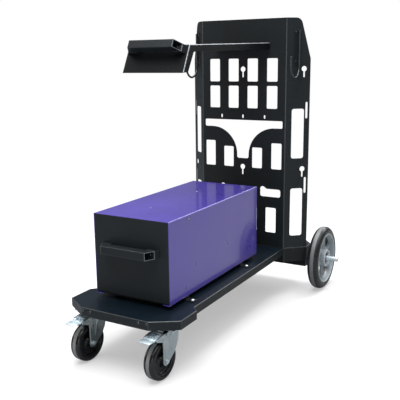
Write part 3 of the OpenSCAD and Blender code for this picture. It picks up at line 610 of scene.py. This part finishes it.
# The deck's top takes its darker, bluer coat and its upright faces the lighter panel coat: painted shade on the
# top, painted light on the sides. Its rounded edges take the lighter edge coat, a painted highlight.
rounded("deck", 0.35, [
    (lambda c, t: abs(t.z) > 0.9 and c.z < TOP - 3 * MM, 1.0),
    (lambda c, t: on_top(c), 2.4),
    (lambda c, t: on_top(c) and c.y > deck_hi.y - 1 * MM, 0.8),
    (lambda c, t: on_top(c) and by_tab_screw(c), 0.2),
], mats=("deck_coat", "coat_edge", "panel_coat"), segments=4)

_, plat_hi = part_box("rear_platform")
rounded("rear_platform", 0.35, [
    (lambda c, t: abs(t.z) > 0.9 and c.z < TOP - 3 * MM, 1.0),
    (lambda c, t: on_top(c) and (abs(c.x) > plat_hi.x - 1 * MM or c.y > 0.436), 3.0),
    (lambda c, t: on_top(c) and abs(c.x) > 0.186 and c.y < 0.384, 2.0),
], segments=4)

# the fold between panel and wing, and the fold of the foot flange, outside and inside
upright = rounded("upright", 0.45, [
    (lambda c, t: abs(t.z) > 0.9 and near(abs(c.x), 183.5) and near(c.y, 320), 2.6),
    (lambda c, t: abs(t.z) > 0.9 and near(abs(c.x), 182.4, 0.5) and near(c.y, 323), 1.2),
    (lambda c, t: abs(t.x) > 0.9 and near(c.z, 196) and near(c.y, 320), 0.8),
    (lambda c, t: abs(t.x) > 0.9 and near(c.z, 199) and near(c.y, 323), 1.6),
], mats=("panel_coat", "coat_edge"), segments=4)
# The wing faces take the lighter wing coat and the panel the lighter panel coat: painted light, with the lighter
# edge coat on the folds as a painted highlight.
upright.data.materials.append(M["wing_coat"])
for p in upright.data.polygons:
    if p.material_index == 0 and 0.3 < abs(p.normal.x) < 0.9:
        p.material_index = 2

# the shelf's profile as (y, z): its root at the upright, the bend, the plate's lower edge
_, shelf_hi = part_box("shelf")
BEND = Vector((-0.288, 0.993))
ROOT = Vector((0.320, 1.010))
FOOT = Vector((-0.330, 0.909))


def off_line(c, a, b):
    """A point's distance from the line through a and b, seen from the side."""
    d = (b - a).normalized()
    p = Vector((c.y, c.z)) - a
    return abs(p.x * d.y - p.y * d.x)


# The shelf takes the darker shelf coat, a painted shade, and on its side edges near the front a light grey, a
# painted highlight.
rounded("shelf", 0.3, [
    (lambda c, t: abs(c.x) > shelf_hi.x - 0.2 * MM and off_line(c, ROOT, BEND) < 0.2 * MM, 2.4),
    (lambda c, t: abs(c.x) > shelf_hi.x - 0.2 * MM and c.y < -0.288
     and off_line(c, BEND, FOOT) < 0.2 * MM, 2.4),
    (lambda c, t: abs(t.x) > 0.9 and (Vector((c.y, c.z)) - BEND).length < 0.5 * MM, 3.4),
    (lambda c, t: abs(t.x) > 0.9 and (Vector((c.y, c.z)) - BEND).length > 1 * MM
     and (Vector((c.y, c.z)) - BEND).length < 4 * MM, 2.0),
], mats=("shelf_coat", "painted_edge_highlight"), segments=4,
    highlight_where=lambda c: abs(c.x) > shelf_hi.x - 4 * MM and c.y < 0.1
    and (c.y < BEND.x + 30 * MM or off_line(c, ROOT, BEND) < 3 * MM))

_, case_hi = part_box("case_sleeve")
# The sleeve's rounded edges take the lighter purple: a painted highlight.
rounded("case_sleeve", 0.22, [
    (lambda c, t: abs(t.y) > 0.9 and abs(c.x) > case_hi.x - 0.2 * MM, 3.0),
    (lambda c, t: abs(t.y) > 0.9 and near(abs(c.x), 139.0, 0.2), 0.7),
], mats=("purple", "purple_edge_highlight"), segments=4)

# The drawer front and the case back take lighter copies of the black coat, painted light, with the lighter edge
# coat on their rounded edges, a painted highlight.
rounded("drawer_front", 0.8, mats=("front_coat", "coat_edge"), segments=3)
rounded("case_back", 0.8, mats=("panel_coat", "coat_edge"))
rounded("case_base", 0.3)
rounded("drawer_tray", 0.3, [
    (lambda c, t: c.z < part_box("drawer_tray")[0].z + 0.1 * MM, 1.4),
    (lambda c, t: abs(t.z) > 0.9, 1.0),
])
# The handle bars take the lighter front coat, painted light, with the lighter edge coat on their rounded edges, a
# painted highlight.
for handle in ("push_handle", "drawer_handle"):
    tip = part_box(handle + "_bar")[1].x
    bar = rounded(handle + "_bar", 0.9, [
        (lambda c, t: abs(t.x) > 0.98, 1.6),
    ], mats=("front_coat", "coat_edge"), segments=4)
    # The faces of the bars' open ends take a light grey: a painted highlight around the tube ends.
    bar.data.materials.append(M["tube_end_highlight"])
    for p in bar.data.polygons:
        if abs(p.center.x) > tip - 40 * MM and abs(p.normal.x) > 0.15:
            p.material_index = 2
    rounded(handle + "_stubs", 0.5, [
        (lambda c, t: abs(t.x) > 0.98, 0.8),
    ])
rounded("axle_carrier", 0.35, [
    (lambda c, t: c.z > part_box("axle_carrier")[1].z - 0.2 * MM, 2.4),
])
rounded("caster_channel", 0.35, [
    (lambda c, t: c.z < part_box("caster_channel")[0].z + 0.2 * MM, 2.2),
])
tab_lo, tab_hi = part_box("hold_down_tabs")
rounded("hold_down_tabs", 0.3, [
    (lambda c, t: abs(t.y) > 0.9 and c.z < tab_lo.z + 0.2 * MM and abs(c.x) < 0.134, 3.0),
    (lambda c, t: abs(t.y) > 0.9 and c.z > tab_hi.z - 0.2 * MM and abs(c.x) > 0.134, 3.0),
])
rounded("hook_straps", 0.5)
# The slides and rivets take the lighter zinc on their rounded edges: a painted highlight.
rounded("slide_outers", 0.2, mats=("slide", "zinc_edge"), segments=2)
rounded("slide_middles", 0.2, mats=("slide", "zinc_edge"), segments=2)
rounded("slide_inners", 0.6, mats=("slide", "zinc_edge"), segments=2)
rounded("case_rivets", 0.3, mats=("zinc", "zinc_edge"), segments=2)
TOP_RIVETS = ((-0.018, -0.028), (-0.018, -0.330))
bm = bmesh.new()
for x, y in TOP_RIVETS:
    turned(bm, basis((x, y, case_hi.z), (0, 0, 1)), [
        (3.2, -0.3), (3.2, 0.0), (2.6, 0.3), (1.4, 0.5)], 24)
finish_mesh("top_rivet_heads", bm, ("zinc",), "cart", [])


# ---------------------------------------------------------------- screws and bolts

PLATE_OUT = Vector((0, -(BEND - FOOT).normalized().y, (BEND - FOOT).normalized().x))
WING = math.radians(40.8)


def wing_front(middle):
    """The direction that the wing's front faces, on the side of the point."""
    side = 1 if middle.x > 0 else -1
    return (side * math.sin(WING), -math.cos(WING), 0)


# The tab screws take the near-white axle zinc: partly a painted highlight.
screws("tab_screws", lambda c: (0, 0, 1), 6, mats=("axle",))
screws("joint_bolts", lambda c: (0, -1, 0) if c.y < 0.35 else (0, 0, 1), 8)
screws("upright_bolts", lambda c: (0, 0, 1), 8)
screws("shelf_bolts", lambda c: (0, -1, 0), 6)
screws("push_handle_screws", lambda c: PLATE_OUT, 6, mats=("screw",))
screws("drawer_handle_screws", lambda c: (0, -1, 0), 6, mats=("screw",))
screws("hook_screws", wing_front, 5, mats=("screw",))
screws("caster_plate_bolts", lambda c: (0, 0, 1), 8)
screws("flange_screws", lambda c: (0, -1, 0), 5, nut=False, mats=("dark_screw",))


# ---------------------------------------------------------------- rods, feet, axle

hook_lo, hook_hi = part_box("cable_hooks")
ROD = 0.004
TIP = 0.956
bm = bmesh.new()
for side in (-1, 1):
    x = side * (hook_hi.x - ROD)
    back = hook_hi.y - ROD
    r = (hook_hi.y - hook_lo.y) / 2 - ROD
    zc = hook_lo.z + r + ROD
    pts = [(x, back, hook_hi.z), (x, back, hook_hi.z - 0.02), (x, back, (hook_hi.z + zc) / 2),
           (x, back, zc + 0.01)]
    pts += [(x, back - r + r * math.cos(a), zc - r * math.sin(a))
            for a in [math.pi * i / 28 for i in range(29)]]
    pts += [(x, back - 2 * r, zc + 0.015), (x, back - 2 * r, TIP)]
    swept(bm, pts, ROD, 24)
# The rods take the lighter, glossier edge coat: painted light along them.
finish_mesh("cable_hook_rods", bm, ("coat_edge",), "cart", ["cable_hooks"], angle=50)

for node in ("case_feet", "drawer_bumpers"):
    bm = bmesh.new()
    for points in islands(node):
        lo, hi = extent(points)
        c = (lo + hi) / 2
        r = (hi.x - lo.x) / 2 / MM
        if node == "case_feet":
            h = (hi.z - lo.z) / MM
            m = basis((c.x, c.y, lo.z), (0, 0, 1))
            profile = [
                (r * 0.80, 0.0), (r * 0.86, 0.6), (r * 0.90, h * 0.45), (r * 0.98, h - 2.0),
                (r, h - 1.2), (r, h - 0.2), (r * 0.9, h)]
        else:
            h = (hi.y - lo.y) / MM
            m = basis((c.x, hi.y, c.z), (0, -1, 0))
            profile = [
                (r, 0.0), (r, 3.0), (r * 0.86, 4.0), (r * 0.8, h - 4.0), (r * 0.7, h - 1.2),
                (r * 0.4, h)]
        turned(bm, m, profile, 36)
    finish_mesh(node + "_part", bm, ("rubber",), BODY[node], [node])

axle_lo, axle_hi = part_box("rear_axle")
axle_c = (axle_lo + axle_hi) / 2
half = (axle_hi.x - axle_c.x) / MM
R = (axle_hi.z - axle_lo.z) / 2 / MM
bm = bmesh.new()
ends = [(R * 0.1, -half), (R - 1.6, -half), (R, -half + 1.6), (R, -half + 8.4),
        (R - 0.7, -half + 9.0), (R - 0.7, -half + 10.6), (R, -half + 11.2)]
turned(bm, basis(axle_c, (1, 0, 0)), ends + [(r, -h) for r, h in reversed(ends)], 48)
# The axle takes the near-white axle zinc: partly bright zinc, partly a painted highlight.
finish_mesh("rear_axle_rod", bm, ("axle",), "cart", ["rear_axle"])
bm = bmesh.new()
for points in islands("axle_washers"):
    lo, hi = extent(points)
    side = 1 if lo.x > 0 else -1
    inner = min(abs(lo.x), abs(hi.x)) / MM
    # outside each wheel is a small thick washer, inside it a wide thin one
    wide, long = (12.8, 4.4) if inner > 300 else (17.0, 3.0)
    m = basis((side * inner * MM, axle_c.y, axle_c.z), (side, 0, 0))
    lathe(bm, m, [
        (10.1, 0.3), (10.4, 0.0), (wide - 0.5, 0.0), (wide, 0.5), (wide, long - 0.6),
        (wide - 0.6, long), (10.6, long), (10.1, long - 0.4)], 48)
finish_mesh("axle_washers_part", bm, ("bright",), "cart", ["axle_washers"])

WIRE = 0.0008
EYE = 0.0024
bm = bmesh.new()
for points in islands("split_pins"):
    lo, hi = extent(points)
    # the pin stands across the axle, with its eye where the CAD pin has its ball
    x, y, z = ((lo + hi) / 2).x, axle_c.y, axle_c.z
    for off in (-0.00085, 0.00085):
        swept(bm, [(x + off, y, z + 0.011), (x + off, y, z - 0.010),
                   (x + off * 2.2, y, z - 0.013), (x + off * 5.0, y, z - 0.0160)], WIRE, 10)
    swept(bm, [(x + EYE * math.sin(a), y, z + 0.0135 - EYE * math.cos(a))
               for a in [math.radians(20 + 320 * i / 14) for i in range(15)]], WIRE, 10)
finish_mesh("split_pins_part", bm, ("zinc",), "cart", ["split_pins"], angle=50)


# ---------------------------------------------------------------- casters

# The caster parts take the lighter zinc on their rounded edges, a painted highlight, and the axle bolts the
# near-white axle zinc, partly a painted highlight.
rounded("caster_plates", 0.5, mats=("zinc", "zinc_edge"))
rounded("kingpins", 0.5, mats=("zinc", "zinc_edge"), segments=2)
for side in ("left", "right"):
    roll = JOINTS[side + "_caster_roll"]
    hub = basis(roll["pos_m"], roll["axis"])
    rounded(side + "_fork", 0.6, [
        (lambda c, t: abs(t.y) > 0.9 and near(c.z, 152, 0.2), 2.6),
        (lambda c, t: abs(t.y) > 0.9 and near(c.z, 149, 0.2), 1.2),
    ], mats=("zinc", "zinc_edge"))
    swivel = JOINTS[side + "_swivel_turn"]["pos_m"]
    # outlines are drawn in the wheel's plane, (forward or back, height), and extruded along
    # its axle
    toe, upright_axis = Vector(roll["axis"]), Vector((0, 0, 1))
    caster = Matrix((toe, upright_axis.cross(toe), upright_axis)).transposed().to_4x4()
    caster.translation = Vector((swivel[0], swivel[1], 0))
    sideways = caster @ Matrix(((0, 0, 1, 0), (1, 0, 0, 0), (0, 1, 0, 0), (0, 0, 0, 1)))

    bm = bmesh.new()
    for x in (-26.1, 24.6):
        block(bm, sideways, [(-52.4, 66), (-52.4, 126), (-60, 131), (-60, 136), (-45.5, 136),
                             (-43.0, 128), (-43.0, 74)], x, x + 1.5, 0.7, segments=3)
        block(bm, sideways, [(-29, 84), (-20, 141), (-13, 141), (-16, 98), (-25, 84)],
              x, x + 1.5, 0.7, segments=3)
    boss = [(-40 + 7.3 * math.cos(a), 62.5 + 7.3 * math.sin(a))
            for a in [2 * math.pi * i / 28 for i in range(28)]]
    for x in (-27.6, 25.0):
        block(bm, sideways, boss, x + 0.4, x + 2.2, 0.4)
    finish_mesh(side + "_fork_ribs", bm, ("zinc",), BODY[side + "_fork"], [])

    bm = bmesh.new()
    arm = [(-34 + 5.5 * math.sin(a), 146 - 5.5 * math.cos(a))
           for a in [math.pi * i / 12 for i in range(13)]]
    arm += [(-60, 152), (-76, 149), (-90, 145.4), (-90, 141.6), (-76, 142), (-60, 138)]
    for x in (-20, 17):
        block(bm, sideways, arm, x, x + 3, 0.7)
    slope = [(-54, 152.5), (-54, 149.5), (-90, 141), (-90, 144)]
    for x in (-19.6, 12.5):
        block(bm, sideways, slope, x, x + 7.1, 0.6)
    block(bm, sideways, [(-54, 152.5), (-54, 149.5), (-61, 147.9), (-61, 150.9)], -19, 19, 0.6)
    block(bm, sideways, [(-75, 147.5), (-75, 144.5), (-91, 140.8), (-91, 143.8)], -19.8, 19.8,
          0.6)
    block(bm, sideways, [(-77, 148.6), (-77, 145.4), (-88.5, 142.6), (-88.5, 145.9)], -11, 11,
          1.2, segments=3)
    block(bm, sideways, [(-66, 149.4), (-66, 147.6), (-76, 145.4), (-76, 147.2)], -3.5, 3.5,
          0.6)
    block(bm, sideways, [(-89, 140.8), (-89, 143.9), (-100, 145.4), (-110, 144.8),
                         (-115, 143.2), (-114.6, 141.0), (-109, 142.2), (-100, 142.6)],
          -21.8, 21.8, 0.8, segments=3)
    block(bm, sideways, [(-96, 144.2), (-96, 146.0), (-107, 145.9), (-107, 144.2)], -13, 13,
          0.9, segments=3)
    block(bm, sideways, [(-66, 131), (-66, 146), (-62, 148.5), (-58, 148.5), (-58, 131)],
          -19.8, 19.8, 0.6)
    for i in range(7):
        x = -19 + 38 * i / 6.5
        block(bm, sideways, [(-66, 132.5), (-62, 129.6), (-58, 132.5)], x, x + 2.4, 0.3)
    finish_mesh(side + "_pedal_part", bm, ("bright",), BODY[side + "_pedal"], [side + "_pedal"])
    rounded(side + "_pedal_pin", 0.4, mats=("zinc", "zinc_edge"), segments=2)
    rounded(side + "_axle_bolt", 0.5, mats=("axle", "zinc_edge"), segments=2)
    rounded(side + "_bush", 0.3, mats=("zinc", "zinc_edge"), segments=2)

    bm = bmesh.new()
    half_profile = [
        (47.0, 16.5), (48.6, 18.0), (50.0, 18.3), (50.9, 18.9), (53.5, 19.0), (56.2, 18.2),
        (58.8, 16.6), (60.9, 14.3), (62.0, 11.8), (62.3, 8.6), (62.45, 6.0),
        (62.5, 3.0), (62.5, 0.0),
    ]
    lathe(bm, hub, mirrored(half_profile, 10))
    finish_mesh(side + "_caster_tyre_part", bm, ("caster_side", "caster_tread"),
                BODY[side + "_caster_tyre"], [side + "_caster_tyre"])

    bm = bmesh.new()
    half_profile = [
        (6.1, 21.4), (12.5, 21.4), (14.0, 20.6), (14.8, 18.5), (15.6, 13.0), (18.0, 9.0),
        (22.5, 6.6), (28.0, 5.8), (30.0, 6.4), (32.0, 5.8), (37.0, 5.6), (40.0, 7.2),
        (41.8, 10.5), (42.6, 15.0), (43.6, 16.2), (46.0, 16.4), (47.0, 15.6),
    ]
    lathe(bm, hub, half_profile + [(r, -h) for r, h in reversed(half_profile)])
    finish_mesh(side + "_caster_hub_part", bm, ("hub",),
                BODY[side + "_caster_hub"], [side + "_caster_hub"])


# ---------------------------------------------------------------- rear wheels

SPOKES = 6
SPOKE_TURN = 22  # degrees
for side, sign in (("left", -1), ("right", 1)):
    roll = JOINTS[side + "_rear_roll"]
    wheel = basis(roll["pos_m"], (sign, 0, 0))
    body = BODY[side + "_rear_tyre"]

    bm = bmesh.new()
    half_profile = [
        (103.0, 21.5), (104.5, 22.6), (107.0, 23.0), (112.0, 22.9), (117.0, 21.8),
        (121.5, 19.4), (125.3, 15.9), (127.9, 11.6), (129.2, 8.2), (129.5, 7.4),
        (129.9, 3.0), (130.0, 0.0),
    ]
    lathe(bm, wheel, mirrored(half_profile, 9), 120)
    finish_mesh(side + "_rear_tyre_part", bm, ("tyre_side", "tyre_tread"), body,
                [side + "_rear_tyre"])

    bm = bmesh.new()
    # The rim's lips and hub rims take a lighter grey, a painted highlight, and the barrel's inboard half behind
    # the spokes a dark grey, a painted shade.
    lathe(bm, wheel, [
        (103.0, -21.0), (103.0, 21.0, (1,)), (102.2, 22.2, (1,)), (100.4, 22.8, (1,)),
        (98.6, 22.2, (1,)), (97.6, 20.6), (96.8, 17.0), (96.0, -2.0, (2,)), (96.0, -4.0, (2,)),
        (96.8, -17.0), (97.6, -20.6, (1,)), (98.6, -22.2, (1,)), (100.4, -22.8, (1,)),
        (102.2, -22.2, (1,)),
    ], 120)
    lathe(bm, wheel, [
        (19.6, -11.0), (23.6, -11.0), (23.6, -24.4), (25.0, -25.0, (1,)), (34.4, -25.0, (1,)),
        (36.0, -23.6), (37.0, -14.0), (37.6, 0.0), (36.8, 14.0), (36.0, 21.4, (1,)),
        (34.6, 23.0, (1,)), (28.6, 23.0, (1,)), (27.4, 21.8), (26.6, 17.4), (23.6, 17.0),
        (23.6, 9.0), (19.6, 9.0),
    ], 72)
    for i in range(SPOKES):
        angle = math.radians(SPOKE_TURN + 360 / SPOKES * i)
        turn = wheel @ Matrix.Rotation(angle, 4, "Z")
        block(bm, turn, [(33, -9.5), (44, -7.0), (72, -6.2), (88, -7.6), (97.5, -11.5),
                         (97.5, 11.5), (88, 7.6), (72, 6.2), (44, 7.0), (33, 9.5)],
              -5, 6.5, 1.6, segments=3)
        block(bm, turn, [(36, -2.4), (92, -1.8), (92, 1.8), (36, 2.4)], 5.5, 8.6, 1.0)
    finish_mesh(side + "_rear_rim_part", bm, ("rim", "rim_edge", "rim_painted_shade"), body,
                [side + "_rear_rim"], angle=34)

    bm = bmesh.new()
    for back, face in ((-11.0, -19.0), (9.0, 17.0)):
        out = 1 if face > 0 else -1
        lathe(bm, wheel, [
            (10.1, back), (23.5, back), (23.5, face - out * 0.6), (22.9, face),
            (20.8, face, (1,)), (20.4, face - out * 0.7, (1,)),
            (14.2, face - out * 0.7, (1,)), (13.8, face), (10.7, face),
            (10.1, face - out * 0.6),
        ], 60)
    finish_mesh(side + "_rear_bearings_part", bm, ("race", "seal"), body,
                [side + "_rear_bearings"], angle=34)


# ---------------------------------------------------------------- studio

floor_mesh = bpy.data.meshes.new("studio_floor")
bm = bmesh.new()
bmesh.ops.create_circle(bm, cap_ends=True, segments=96, radius=40.0)
bm.to_mesh(floor_mesh)
bm.free()
floor = bpy.data.objects.new("studio_floor", floor_mesh)
bpy.context.scene.collection.objects.link(floor)
g = Graph("pale_floor")
pale = g.colours(g.noise(3.0, 3.0), [(0.3, (0.90, 0.90, 0.90)), (0.7, (0.93, 0.93, 0.93))])
g.set(Base_Color=pale, Roughness=0.8, Specular_IOR_Level=0.1)
far = g.add("ShaderNodeEmission")
far.inputs["Strength"].default_value = 1.0
length = g.add("ShaderNodeVectorMath", operation="LENGTH")
g.link(g.place, length.inputs[0])
fade = g.add("ShaderNodeMixShader")
g.link(g.spread(length.outputs["Value"], 0.42, 1.0, 0.9, 2.4), fade.inputs["Fac"])
g.link(g.shader.outputs[0], fade.inputs[1])
g.link(far.outputs[0], fade.inputs[2])
dim = g.add("ShaderNodeBsdfDiffuse")
spot = g.add("ShaderNodeVectorMath", operation="DISTANCE")
g.link(g.place, spot.inputs[0])
spot.inputs[1].default_value = (1.3, 1.4, 0.0)
g.link(g.mix(g.spread(spot.outputs["Value"], 1.0, 0.0, 0.9, 1.9), (0.31, 0.33, 0.35),
             (0.33, 0.33, 0.31)), dim.inputs["Color"])
pick = g.add("ShaderNodeMixShader")
g.link(g.add("ShaderNodeLightPath").outputs["Is Camera Ray"], pick.inputs["Fac"])
g.link(dim.outputs[0], pick.inputs[1])
g.link(fade.outputs[0], pick.inputs[2])
g.link(pick.outputs[0], g.tree.nodes["Material Output"].inputs["Surface"])
floor_mesh.materials.append(g.mat)

world = bpy.data.worlds.new("studio")
bpy.context.scene.world = world
world.use_nodes = True
tree = world.node_tree
back = tree.nodes["Background"]
coord = tree.nodes.new("ShaderNodeTexCoord")
split = tree.nodes.new("ShaderNodeSeparateXYZ")
tree.links.new(coord.outputs["Generated"], split.inputs[0])


def ranged(socket, a, b, low, high):
    node = tree.nodes.new("ShaderNodeMapRange")
    node.interpolation_type = "SMOOTHSTEP"
    node.inputs["From Min"].default_value = a
    node.inputs["From Max"].default_value = b
    node.inputs["To Min"].default_value = low
    node.inputs["To Max"].default_value = high
    tree.links.new(socket, node.inputs["Value"])
    return node.outputs["Result"]


def maths(kind, a, b):
    node = tree.nodes.new("ShaderNodeMath")
    node.operation = kind
    for socket, value in zip(node.inputs, (a, b)):
        if isinstance(value, (int, float)):
            socket.default_value = value
        else:
            tree.links.new(value, socket)
    return node.outputs[0]


above = ranged(split.outputs["Z"], 0.45, 1.0, 0.13, 1.6)
aside = ranged(split.outputs["X"], 0.2, 1.0, 0.0, 0.04)
toward = tree.nodes.new("ShaderNodeVectorMath")
toward.operation = "DOT_PRODUCT"
tree.links.new(coord.outputs["Generated"], toward.inputs[0])
toward.inputs[1].default_value = (-0.49, 0.86, 0.2)
behind = ranged(toward.outputs["Value"], 0.80, 0.96, 0.0, 0.06)
light = maths("ADD", maths("ADD", above, aside), behind)
path = tree.nodes.new("ShaderNodeLightPath")
seen = tree.nodes.new("ShaderNodeMix")
tree.links.new(path.outputs["Is Camera Ray"], seen.inputs["Factor"])
tree.links.new(light, seen.inputs["A"])
seen.inputs["B"].default_value = 1.0
tree.links.new(seen.outputs["Result"], back.inputs["Strength"])
back.inputs["Color"].default_value = (1, 1, 1, 1)


def softbox(name, place, aim, size, watts, colour=(1, 1, 1)):
    data = bpy.data.lights.new(name, "AREA")
    data.shape = "RECTANGLE"
    data.size, data.size_y = size
    data.energy = watts
    data.color = colour
    obj = bpy.data.objects.new(name, data)
    bpy.context.scene.collection.objects.link(obj)
    obj.location = place
    obj.visible_camera = False
    obj.rotation_euler = (Vector(aim) - Vector(place)).to_track_quat("-Z", "Y").to_euler()


softbox("key_light", (0.35, -1.7, 3.0), (0, 0, 0.4), (1.2, 1.2), 29, (0.98, 0.99, 1.0))
softbox("back_light_right", (0.8, 1.0, 3.4), (0.1, 0, 0.4), (0.9, 0.9), 26)
softbox("back_light_left", (-0.9, 1.0, 3.4), (-0.1, 0, 0.4), (0.9, 0.9), 48)
softbox("top_light", (-0.2, -0.6, 3.2), (0, -0.2, 0.4), (2.0, 2.0), 40, (0.97, 0.99, 1.0))
softbox("edge_light", (0.9, 3.2, 2.2), (0.1, 0, 0.4), (2.2, 1.3), 34)
softbox("side_light", (1.5, -3.3, 0.8), (0, 0, 0.5), (1.3, 1.3), 10)
softbox("fill_light", (-2.8, -1.6, 1.2), (0, 0, 0.5), (0.8, 1.4), 9, (1.0, 0.90, 0.82))

camera_data = bpy.data.cameras.new("camera")
camera = bpy.data.objects.new("camera", camera_data)
bpy.context.scene.collection.objects.link(camera)
camera_data.sensor_width = 36
camera_data.lens = 57.92
camera_data.clip_end = 60
yaw, pitch, tilt = (math.radians(a) for a in (29.64, 12.13, -0.63))
ahead = Vector((-math.sin(yaw) * math.cos(pitch), math.cos(yaw) * math.cos(pitch),
                -math.sin(pitch)))
level = Vector((math.cos(yaw), math.sin(yaw), 0))
high = level.cross(ahead)
right = math.cos(tilt) * level + math.sin(tilt) * high
upward = -math.sin(tilt) * level + math.cos(tilt) * high
place = Matrix((right, upward, -ahead)).transposed().to_4x4()
place.translation = Vector((1.137, -2.035, 0.941))
camera.matrix_world = place
bpy.context.scene.camera = camera
bpy.context.scene.view_settings.view_transform = "Standard"
bpy.context.scene.view_settings.look = "None"
